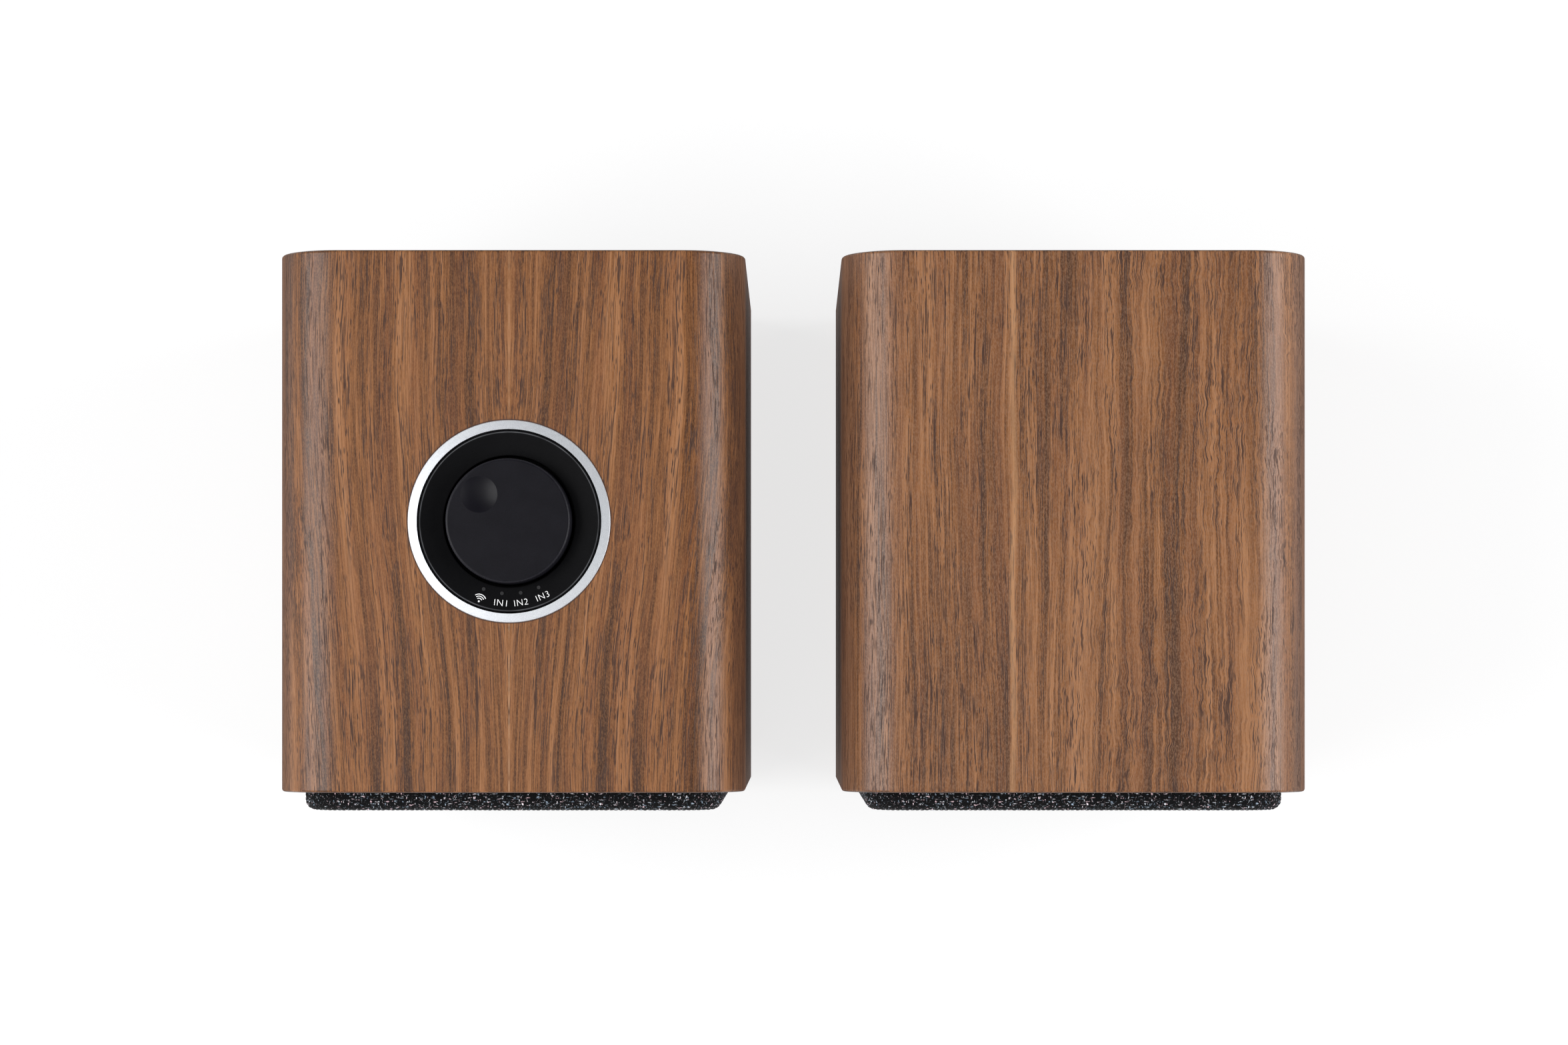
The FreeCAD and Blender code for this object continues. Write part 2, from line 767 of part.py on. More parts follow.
def woofer_cone(side):
    """A one-piece bowl cone with a short neck, and the voice coil on that neck."""
    edge = -D.cone_thickness + D.cone_level
    deep = edge + D.cone_depth
    bowl = cap_radius(D.cone_radius, D.cone_depth)
    neck = D.former_radius + D.former_wall

    def back_of_bowl(radius):
        return deep + D.cone_thickness - bowl + root(bowl * bowl - radius * radius)

    ring_around_y(f"{side}_woofer_cone", [
        (deep, 0, bowl),
        (edge, D.cone_radius),
        (edge + D.cone_thickness, D.cone_radius, -bowl),
        (back_of_bowl(neck + D.cone_neck), neck + D.cone_neck),
        (D.neck_end, neck + D.cone_neck / 2),
        (D.neck_end, neck),
        (back_of_bowl(neck), neck, -bowl),
        (deep + D.cone_thickness, 0),
    ], *woofer_place(side))
    middle = D.seat_depth + D.basket_skin + D.steel_thickness / 2
    low, high = middle - D.winding_length / 2, middle + D.winding_length / 2
    winding = neck + D.winding_wall
    ring_around_y(f"{side}_woofer_voice_coil", [
        (D.former_start, D.former_radius),
        (D.former_start, neck),
        (low, neck),
        (low, winding),
        (high, winding),
        (high, neck),
        (D.former_end, neck),
        (D.former_end, D.former_radius),
    ], *woofer_place(side))


def woofer_suspension(side):
    """The half-roll surround at the cone's edge and the corrugated spider behind it."""
    skin = D.roll_thickness
    end = D.roll_start + D.roll_width
    ring_around_y(f"{side}_woofer_surround", [
        (-skin, D.cone_radius),
        (-skin, D.roll_start, -D.roll_bend),
        (-skin, end),
        (-skin, D.roll_rim),
        (0, D.roll_rim),
        (0, end - skin, D.roll_bend - skin),
        (0, D.roll_start + skin),
        (0, D.cone_radius),
    ], *woofer_place(side))
    inner = D.former_radius + D.former_wall
    front = D.ledge_depth - D.spider_thickness
    start = D.spider_rim - D.spider_rim_width
    step = (start - inner - D.spider_rim_width / 2) / SPIDER_FOLDS
    folds = range(SPIDER_FOLDS + 1)
    crests = [(front - D.spider_wave * (number % 2), start - step * number) for number in folds]
    crests += [(front, inner)]
    backs = [(depth + D.spider_thickness, radius) for depth, radius in reversed(crests)]
    rim = [(D.ledge_depth, D.spider_rim), (front, D.spider_rim)]
    ring_around_y(f"{side}_woofer_spider", crests + backs + rim, *woofer_place(side))


def tweeter_plate(side):
    """The tweeter's face plate with a short flare."""
    body = ring_around_y(f"{side}_tweeter_plate", [
        (0, D.horn_mouth),
        (0, D.plate_radius),
        (D.plate_thickness, D.plate_radius),
        (D.plate_thickness, D.horn_throat),
    ], *tweeter_place(side))
    holes = new_sketch(body, "XZ_Plane")
    for x, z in around(D.tweeter_bolt_circle, DRIVER_SCREWS):
        circle(holes, x, z, D.screw_radius + D.screw_clearance)
    pocket(body, holes, D.plate_thickness)
    heads = new_sketch(body, "XZ_Plane")
    for x, z in around(D.tweeter_bolt_circle, DRIVER_SCREWS):
        circle(heads, x, z, D.screw_head + D.screw_clearance)
    pocket(body, heads, D.screw_head_height)


def tweeter_place(side):
    """Where the middle of the tweeter's plate is."""
    return SIDES[side], FRONT, D.tweeter_height


def tweeter_motor(side):
    """The dome with its coil, and the pot magnet behind it."""
    rim = D.dome_level + D.dome_skin
    rise = D.dome_level - D.dome_top
    ring_around_y(f"{side}_tweeter_dome", [
        (D.dome_top, 0, -cap_radius(D.dome_radius, rise)),
        (D.dome_level, D.dome_radius),
        (D.dome_level, D.dome_rim),
        (rim, D.dome_rim),
        (rim, D.dome_radius),
        (D.dome_coil_end, D.dome_radius),
        (D.dome_coil_end, D.dome_radius - D.dome_skin),
        (rim, D.dome_radius - D.dome_skin, cap_radius(D.dome_radius - D.dome_skin, rise)),
        (D.dome_top + D.dome_skin, 0),
    ], *tweeter_place(side))
    well = rim + D.dome_room
    ring_around_y(f"{side}_tweeter_magnet", [
        (D.plate_thickness, D.dome_well),
        (D.plate_thickness, D.tweeter_magnet),
        (D.tweeter_depth, D.tweeter_magnet),
        (D.tweeter_depth, 0),
        (well, 0),
        (well, D.coil_slot_inner),
        (D.coil_slot_end, D.coil_slot_inner),
        (D.coil_slot_end, D.coil_slot_outer),
        (well, D.coil_slot_outer),
        (well, D.dome_well),
    ], *tweeter_place(side))


def screws(side):
    """All the screws of one speaker: a group of separate solids."""
    groups = [
        (FRONT + D.woofer_recess, D.woofer_height, around(D.bolt_circle, DRIVER_SCREWS), 1),
        (FRONT + D.screw_head_height, D.tweeter_height, around(D.tweeter_bolt_circle, DRIVER_SCREWS), 1),
    ]
    if side == "left":
        groups.append((PANEL, 0, amp_screw_places(), -1))
    body = new_body(f"{side}_screws", SIDES[side])
    for level, height, places, inward in groups:
        heads = new_sketch(body, "XZ_Plane", level - D.screw_head_height if inward > 0 else level)
        shanks = new_sketch(body, "XZ_Plane", level if inward > 0 else level - D.screw_length)
        for x, z in places:
            circle(heads, x, height + z, D.screw_head)
            circle(shanks, x, height + z, D.screw_radius)
        pad(body, heads, D.screw_head_height)
        pad(body, shanks, D.screw_length)


def port_tube(side):
    """The reflex port: a flared flange on the rear panel and a tube into the cabinet."""
    outer = D.port_bore + D.port_wall
    ring_around_y(f"{side}_port_tube", [
        (-D.port_length, D.port_bore),
        (-D.port_length, outer),
        (0, outer),
        (0, D.port_flange),
        (D.panel_recess / 2, D.port_flange, -D.panel_recess / 2),
        (D.panel_recess, D.port_flange - D.panel_recess / 2),
        (D.panel_recess, D.port_bore + D.port_flare, -D.port_curve),
        (-D.port_flare, D.port_bore),
    ], SIDES[side], PANEL, D.port_height)


# Dial

def control_ring():
    """The bright trim ring let into the wood."""
    ring_around_z("left_control_ring", [
        (D.ring_inner, D.ring_proud),
        (D.ring_outer - D.ring_proud / 2, D.ring_proud),
        (D.ring_outer, D.ring_proud / 2),
        (D.ring_outer, -D.ring_seat),
        (D.ring_inner + D.ring_skirt, -D.ring_seat),
        (D.ring_inner + D.ring_skirt, -D.cabinet_wall + D.ring_clearance),
        (D.ring_inner, -D.cabinet_wall + D.ring_clearance),
    ])


def control_dish():
    """The dark sloping surround of the knob, hung from a flange under the top wall."""
    lip = D.dish_radius - D.dish_lip
    slope = (D.dish_drop - D.dish_edge) / (lip - D.dish_inner)
    under = D.dish_radius - D.dish_skin
    body = ring_around_z("left_control_dish", [
        (lip, -D.dish_edge),
        (D.dish_radius, -D.dish_edge * 2),
        (D.dish_radius, -D.cabinet_wall),
        (D.dish_flange, -D.cabinet_wall),
        (D.dish_flange, -D.dish_flange_bottom),
        (under, -D.dish_flange_bottom),
        (under, -D.dish_edge - D.dish_skin - (lip - under) * slope),
        (D.dish_inner + D.dish_skin, -D.dish_drop - D.dish_skin),
        (D.dish_inner + D.dish_skin, -D.dish_bottom),
        (D.shaft_hole, -D.dish_bottom),
        (D.shaft_hole, -D.dish_floor),
        (D.dish_inner, -D.dish_floor),
        (D.dish_inner, -D.dish_drop),
    ])
    holes = new_sketch(body, "XY_Plane", -D.dish_bottom)
    for x, y in lens_places():
        circle(holes, x, y, D.lens_radius)
    pocket(body, holes, D.dish_bottom)


def lens_places():
    """Centres of the four indicator lenses, in an arc towards the front."""
    angles = [math.radians(angle) for angle in LENS_ANGLES]
    return [(D.lens_circle * math.sin(a), D.lens_circle * -math.cos(a)) for a in angles]


def indicator_lenses():
    """Four small light guides pressed into the dish."""
    body = new_body("left_indicator_lenses", SIDES["left"], CENTRE, TOP)
    rods = new_sketch(body, "XY_Plane", -D.lens_top - D.lens_length)
    for x, y in lens_places():
        circle(rods, x, y, D.lens_radius)
    pad(body, rods, D.lens_length)


def knob():
    """The dial's cap, hollow underneath, with a finger dimple in its top."""
    body = ring_around_z("left_knob", [
        (0, D.knob_top),
        (D.knob_radius - D.knob_round, D.knob_top, -D.knob_round),
        (D.knob_radius, D.knob_top - D.knob_round),
        (D.knob_base, -D.knob_bottom),
        (D.knob_base - D.knob_skin, -D.knob_bottom),
        (D.knob_radius - D.knob_skin, D.knob_top - D.knob_skin),
        (D.knob_hub, D.knob_top - D.knob_skin),
        (D.knob_hub, -D.knob_bottom + D.knob_skin),
        (D.shaft_radius, -D.knob_bottom + D.knob_skin),
        (D.shaft_radius, D.shaft_top),
        (0, D.shaft_top),
    ])
    key = new_sketch(body, "XY_Plane", -D.knob_bottom + D.knob_skin)
    width = D.knob_hub - D.shaft_flat - D.knob_round
    rectangle(key, D.shaft_flat + width / 2, 0, width, D.shaft_radius)
    pad(body, key, D.shaft_top + D.knob_bottom - D.knob_skin)
    dimple = body.newObject("PartDesign::SubtractiveSphere", "left_knob_dimple")
    angle = math.radians(DIMPLE_ANGLE)
    bind(dimple, "Radius", D.dimple_radius)
    bind(dimple, "Placement.Base.x", D.dimple_offset * math.cos(angle))
    bind(dimple, "Placement.Base.y", D.dimple_offset * math.sin(angle))
    bind(dimple, "Placement.Base.z", D.knob_top - D.dimple_depth + D.dimple_radius)


def knob_shaft():
    """The encoder's shaft, with a flat that drives it."""
    body = ring_around_z("left_knob_shaft", [
        (0, D.shaft_top),
        (D.shaft_radius, D.shaft_top),
        (D.shaft_radius, -D.shaft_bottom),
        (0, -D.shaft_bottom),
    ])
    flat = new_sketch(body, "XY_Plane", -D.shaft_bottom)
    rectangle(flat, D.shaft_flat + D.shaft_radius / 2, 0, D.shaft_radius, D.shaft_radius * 2)
    pocket(body, flat, D.shaft_top + D.shaft_bottom)


def encoder():
    """The fixed body of the rotary encoder, hollow round its rotor, with a bush above."""
    body = new_body("left_encoder", SIDES["left"], CENTRE, TOP)
    block = new_sketch(body, "XY_Plane", -D.encoder_bottom)
    rectangle(block, 0, 0, D.encoder_size, D.encoder_size)
    pad(body, block, D.encoder_bottom - D.dish_bottom)
    bush = new_sketch(body, "XY_Plane", -D.dish_bottom)
    circle(bush, 0, 0, D.bush_radius)
    pad(body, bush, D.dish_bottom - D.bush_top)
    bore = D.shaft_radius + D.running_clearance
    room = D.rotor_radius + D.rotor_room
    hollow = new_sketch(body, "XZ_Plane")
    outline(hollow, [
        (0, -D.bush_top),
        (bore, -D.bush_top),
        (bore, -D.rotor_top + D.rotor_room),
        (room, -D.rotor_top + D.rotor_room),
        (room, -D.shaft_bottom - D.switch_room),
        (0, -D.shaft_bottom - D.switch_room),
    ])
    turn(body, hollow, "V_Axis", "Groove")


def encoder_rotor():
    """The disc inside the encoder that turns with the shaft and lets it slide."""
    bore = D.shaft_radius + D.running_clearance
    body = ring_around_z("left_encoder_rotor", [
        (bore, -D.rotor_top),
        (D.rotor_radius, -D.rotor_top),
        (D.rotor_radius, -D.rotor_top - D.rotor_thickness),
        (bore, -D.rotor_top - D.rotor_thickness),
    ])
    key = new_sketch(body, "XY_Plane", -D.rotor_top - D.rotor_thickness)
    start = D.shaft_flat + D.running_clearance
    width = D.rotor_radius - start - D.rotor_room
    rectangle(key, start + width / 2, 0, width, D.shaft_radius)
    pad(body, key, D.rotor_thickness)


# Amplifier

def amp_screw_places():
    """Centres of the six screws of the amplifier plate."""
    reach_x = D.amp_width / 2 - D.amp_screw_inset
    reach_z = D.amp_height / 2 - D.amp_screw_inset
    return [(x, AMP_MIDDLE + z) for x in (-reach_x, reach_x) for z in (-reach_z, 0, reach_z)]


def amp_plate():
    """The metal plate that carries the sockets."""
    body = new_body("left_amp_plate", SIDES["left"])
    sheet = new_sketch(body, "XZ_Plane", PANEL - D.amp_thickness)
    rounded_rectangle(sheet, 0, AMP_MIDDLE, D.amp_width, D.amp_height, D.amp_corner)
    for x, z in amp_screw_places():
        circle(sheet, x, z, D.screw_radius + D.screw_clearance)
    for x in (D.phono_left, D.phono_left + D.phono_spacing):
        circle(sheet, x, D.socket_row, D.phono_body)
    circle(sheet, D.jack_place, D.socket_row, D.jack_radius)
    rectangle(sheet, D.data_place, D.socket_row, D.data_width, D.data_height)
    for x in POST_X.values():
        circle(sheet, x, D.post_row, D.post_hole)
    rectangle(sheet, 0, D.mains_row, D.mains_body_width, D.mains_body_height)
    pad(body, sheet, D.amp_thickness)


def board(name, middle, height, parts, pillar_rise):
    """A circuit board behind the amplifier plate, with parts on its inner side and two pillars."""
    body = new_body(name, SIDES["left"], PANEL)
    sheet = new_sketch(body, "XZ_Plane", -D.board_level)
    rectangle(sheet, 0, middle, D.board_width, height)
    pad(body, sheet, D.board_thickness)
    for x, z, width, tall, rise in parts:
        block = new_sketch(body, "XZ_Plane", -D.board_level - rise)
        rectangle(block, x, middle + z, width, tall)
        pad(body, block, rise)
    posts = new_sketch(body, "XZ_Plane", D.board_thickness - D.board_level)
    reach = D.board_width / 2 - D.pillar_inset
    for x in (-reach, reach):
        circle(posts, x, middle + pillar_rise, D.pillar_radius)
    pad(body, posts, D.board_level - D.board_thickness - D.amp_thickness)


def boards():
    """The amplifier board with its heat sink and chips, and the power supply below it."""
    board("left_amp_board", D.amp_board_row, D.amp_board_height, AMP_PARTS, AMP_PILLAR_RISE)
    board("left_power_supply", D.power_row, D.power_height, POWER_PARTS, POWER_PILLAR_RISE)


def input_sockets():
    """Two phono sockets, a small jack socket and a data socket on the amplifier plate."""
    inner = D.board_level - D.board_thickness
    body = new_body("left_input_sockets", SIDES["left"], PANEL)
    phono = (D.phono_body, D.phono_sleeve, D.phono_reach, D.phono_hole, D.phono_hole_depth)
    jack = (D.jack_radius, D.jack_radius, D.jack_reach, D.jack_bore, D.jack_depth)
    rounds = ((D.phono_left, phono), (D.phono_left + D.phono_spacing, phono), (D.jack_place, jack))
    for x, (radius, sleeve, reach, hole, hole_depth) in rounds:
        block = new_sketch(body, "XZ_Plane", -inner)
        circle(block, x, D.socket_row, radius)
        pad(body, block, inner)
        nose = new_sketch(body, "XZ_Plane")
        circle(nose, x, D.socket_row, sleeve)
        pad(body, nose, reach)
        cavity = new_sketch(body, "XZ_Plane", reach - hole_depth)
        circle(cavity, x, D.socket_row, hole)
        pocket(body, cavity, hole_depth)
    shell = new_sketch(body, "XZ_Plane", -inner)
    rectangle(shell, D.data_place, D.socket_row, D.data_width, D.data_height)
    pad(body, shell, inner)
    cavity = new_sketch(body, "XZ_Plane", -D.data_cavity)
    width, height = D.data_width - D.data_skin * 2, D.data_height - D.data_skin * 2
    rectangle(cavity, D.data_place, D.socket_row, width, height)
    pocket(body, cavity, D.data_cavity)
    tongue = new_sketch(body, "XZ_Plane", -D.data_cavity)
    rectangle(tongue, D.data_place, D.socket_row, D.tongue_width, D.tongue_height)
    pad(body, tongue, D.data_cavity - D.data_skin * 2)


def mains_inlet():
    """One moulded housing for the two-pin mains inlet and the power switch's well."""
    body = new_body("left_mains_inlet", SIDES["left"], PANEL)
    block = new_sketch(body, "XZ_Plane", -D.mains_depth)
    rectangle(block, 0, D.mains_row, D.mains_body_width, D.mains_body_height)
    pad(body, block, D.mains_depth)
    flange = new_sketch(body, "XZ_Plane")
    rounded_rectangle(flange, 0, D.mains_row, D.mains_flange_width, D.mains_flange_height, D.mains_corner)
    pad(body, flange, D.mains_flange)
    cavity = new_sketch(body, "XZ_Plane", D.mains_flange - D.inlet_depth)
    rounded_rectangle(cavity, D.inlet_place, D.mains_row, D.inlet_width, D.inlet_height, D.inlet_corner)
    pocket(body, cavity, D.inlet_depth)
    well = new_sketch(body, "XZ_Plane", D.mains_flange - D.well_depth)
    rectangle(well, D.well_place, D.mains_row, D.well_width, D.well_height)
    pocket(body, well, D.well_depth)
    pins = new_sketch(body, "XZ_Plane", D.mains_flange - D.inlet_depth)
    for x in (-D.pin_spacing / 2, D.pin_spacing / 2):
        circle(pins, D.inlet_place + x, D.mains_row, D.pin_radius)
    pad(body, pins, D.pin_length)
    reach = D.well_width / 2 + D.rocker_pin_reach
    bearing = new_sketch(body, "YZ_Plane", D.well_place - reach)
    circle(bearing, -D.rocker_pivot, D.mains_row, D.rocker_pin + D.running_clearance)
    pocket(body, bearing, reach * 2)


def power_rocker():
    """The rocker of the power switch, tipped to off, with its two pivot pins."""
    body = new_body("left_power_rocker", SIDES["left"] + D.well_place, PANEL - D.rocker_pivot, D.mains_row)
    body.Placement.Rotation = FreeCAD.Rotation(FreeCAD.Vector(1, 0, 0), -ROCKER_TILT)
    half = D.well_width / 2 - D.rocker_gap
    tip, base = (math.radians(angle) for angle in ROCKER_ENDS)
    radius = D.rocker_radius
    side = new_sketch(body, "YZ_Plane", -half)
    outline(side, [
        (D.rocker_valley, 0),
        (radius * math.cos(tip), radius * math.sin(tip), radius),
        (radius * math.cos(base), radius * math.sin(base)),
        (radius * math.cos(base), radius * -math.sin(base), radius),
        (radius * math.cos(tip), radius * -math.sin(tip)),
    ])
    pad(body, side, half * 2)
    reach = half + D.rocker_gap + D.rocker_pin_reach - D.running_clearance * 2
    pins = new_sketch(body, "YZ_Plane", -reach)
    circle(pins, 0, 0, D.rocker_pin)
    pad(body, pins, reach * 2)


# Terminals

def binding_posts(side):
    """Two metal posts with a banana bore, each clamped by its collar and a lock nut."""
    grip = D.amp_thickness if side == "left" else D.panel_thickness
    tail = grip + D.lock_nut_height + D.post_tail
    body = new_body(f"{side}_binding_posts", SIDES[side], PANEL)
    layers = [
        (-tail, tail + D.post_end, D.post_radius),
        (-grip - D.lock_nut_height, D.lock_nut_height, D.lock_nut),
        (0, D.post_collar_height, D.post_collar),
    ]
    for level, length, radius in layers:
        rod = new_sketch(body, "XZ_Plane", level)
        for x in POST_X.values():
            circle(rod, x, D.post_row, radius)
        pad(body, rod, length)
    bore = new_sketch(body, "XZ_Plane", D.post_end - D.banana_depth)
    for x in POST_X.values():
        circle(bore, x, D.post_row, D.banana_bore)
    pocket(body, bore, D.banana_depth)


def terminal_nut(side, colour):
    """The fluted nut of one post and the washer that it pushes."""
    place = (SIDES[side] + POST_X[colour], PANEL, D.post_row)
    bore = D.post_radius + D.running_clearance
    body = new_body(f"{side}_{colour}_nut", *place)
    cap = new_sketch(body, "XZ_Plane", D.nut_level)
    circle(cap, 0, 0, D.nut_radius)
    circle(cap, 0, 0, bore)
    pad(body, cap, D.nut_end - D.nut_level)
    flute = new_sketch(body, "XZ_Plane", D.nut_level + D.flute_collar)
    circle(flute, D.nut_radius + D.flute_radius / 2, 0, D.flute_radius)
    polar(body, pocket(body, flute, D.nut_end), "Y_Axis", NUT_FLUTES)
    body = new_body(f"{side}_{colour}_washer", *place)
    ring = new_sketch(body, "XZ_Plane", D.washer_level)
    circle(ring, 0, 0, D.washer_radius)
    circle(ring, 0, 0, bore)
    pad(body, ring, D.washer_height)


def crossover():
    """The crossover board inside the right speaker: two coils, two capacitors, four pillars."""
    level = D.panel_thickness + D.crossover_gap
    body = new_body("right_crossover_board", SIDES["right"], PANEL)
    sheet = new_sketch(body, "XZ_Plane", -level - D.board_thickness)
    rectangle(sheet, 0, D.crossover_row, D.crossover_width, D.crossover_height)
    pad(body, sheet, D.board_thickness)
    for x, radius, rise in CROSSOVER_PARTS:
        can = new_sketch(body, "XZ_Plane", -level - D.board_thickness - rise)
        circle(can, x, D.crossover_row, radius)
        pad(body, can, rise)
    pillars = new_sketch(body, "XZ_Plane", -level)
    reach_x = D.crossover_width / 2 - D.pillar_radius * 2
    reach_z = D.crossover_height / 2 - D.pillar_radius * 2
    for x in (-reach_x, reach_x):
        for z in (-reach_z, reach_z):
            circle(pillars, x, D.crossover_row + z, D.pillar_radius)
    pad(body, pillars, D.crossover_gap)


def check_document():
    """Stop if any object failed, any cut removed nothing, or any piece isn't a sound solid."""
    for obj in doc.Objects:
        if "Invalid" in obj.State or "Error" in obj.State:
            raise RuntimeError(f"{obj.Name} failed: {obj.State}")
        if obj.TypeId in ("PartDesign::Pocket", "PartDesign::Groove", "PartDesign::SubtractiveSphere"):
            if obj.Shape.Volume > obj.BaseFeature.Shape.Volume - LEAST_CUT:
                raise RuntimeError(f"{obj.Name} cuts nothing")
    for piece in pieces:
        if piece.Shape.isNull() or not piece.Shape.isValid() or piece.Shape.Volume <= 0:
            raise RuntimeError(f"{piece.Label} isn't a sound solid")


def export_pieces():
    """Write one STEP file for each piece, named after it."""
    os.makedirs("parts", exist_ok=True)
    for piece in pieces:
        piece.Shape.exportStep(f"parts/{piece.Label}.step")
        print(f"{piece.Label}: {len(piece.Shape.Solids)} solid(s), {piece.Shape.Volume:.1f} mm3")


for side in SIDES:
    cabinet(side)
    front_baffle(side)
    rear_panel(side)
    feet(side)
    grille_frame(side)
    grille_cloth(side)
    woofer_basket(side)
    woofer_motor(side)
    woofer_cone(side)
    woofer_suspension(side)
    tweeter_plate(side)
    tweeter_motor(side)
    screws(side)
    port_tube(side)
    binding_posts(side)
    for colour in POST_X:
        terminal_nut(side, colour)
control_ring()
control_dish()
indicator_lenses()
knob()
knob_shaft()
encoder()
encoder_rotor()
amp_plate()
boards()
input_sockets()
mains_inlet()
power_rocker()
crossover()
doc.recompute()
check_document()
export_pieces()
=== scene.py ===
"""How a pair of small wooden desktop speakers looks: finishes, grille cloth, marks and light."""
import math

import bpy
import numpy as np
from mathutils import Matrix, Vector


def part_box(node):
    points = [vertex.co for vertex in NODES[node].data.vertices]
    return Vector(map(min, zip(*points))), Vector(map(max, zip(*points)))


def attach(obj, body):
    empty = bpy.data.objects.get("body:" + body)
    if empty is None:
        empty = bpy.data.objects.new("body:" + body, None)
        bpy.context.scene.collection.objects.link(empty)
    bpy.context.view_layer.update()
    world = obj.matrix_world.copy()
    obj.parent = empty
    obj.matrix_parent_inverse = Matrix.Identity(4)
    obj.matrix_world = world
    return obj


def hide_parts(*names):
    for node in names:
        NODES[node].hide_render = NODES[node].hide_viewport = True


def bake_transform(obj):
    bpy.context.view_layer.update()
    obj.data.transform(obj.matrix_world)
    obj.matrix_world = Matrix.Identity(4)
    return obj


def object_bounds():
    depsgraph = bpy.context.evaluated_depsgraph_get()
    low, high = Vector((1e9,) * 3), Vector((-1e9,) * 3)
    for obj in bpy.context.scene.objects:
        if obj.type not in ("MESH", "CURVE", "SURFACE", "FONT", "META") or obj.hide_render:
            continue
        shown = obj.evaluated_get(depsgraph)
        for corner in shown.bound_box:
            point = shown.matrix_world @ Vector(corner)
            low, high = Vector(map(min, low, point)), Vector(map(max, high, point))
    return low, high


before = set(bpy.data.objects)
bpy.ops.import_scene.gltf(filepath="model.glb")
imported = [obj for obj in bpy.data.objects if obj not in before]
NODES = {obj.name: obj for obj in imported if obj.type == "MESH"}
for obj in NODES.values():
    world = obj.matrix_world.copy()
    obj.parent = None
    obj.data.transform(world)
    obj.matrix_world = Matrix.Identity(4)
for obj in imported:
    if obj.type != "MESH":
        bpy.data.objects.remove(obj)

MM = 0.001
CAD_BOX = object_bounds()
SIDES = ("left", "right")


def middle(box):
    """Centre of a (lowest, highest) box."""
    return (box[0] + box[1]) / 2


CABINET = {side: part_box(f"{side}_cabinet") for side in SIDES}
CENTRE_X = {side: middle(CABINET[side]).x for side in SIDES}
TOP = CABINET["left"][1].z
FRONT = CABINET["left"][0].y
REAR = CABINET["left"][1].y
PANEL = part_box("left_amp_plate")[1].y
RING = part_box("left_control_ring")
DIAL = middle(RING)
RING_RADIUS = (RING[1].x - RING[0].x) / 2


# ---------------------------------------------------------------- node graphs


def screen(red, green, blue):
    """Linear colour of an sRGB screen colour given as 0 to 255."""
    parts = [value / 255 for value in (red, green, blue)]
    linear = [((v + 0.055) / 1.055) ** 2.4 if v > 0.04045 else v / 12.92 for v in parts]
    return (*linear, 1.0)


def brighter(colour, factor):
    """A linear colour times a factor, at most white."""
    return tuple(min(1.0, factor * value) for value in colour[:3]) + (1.0,)


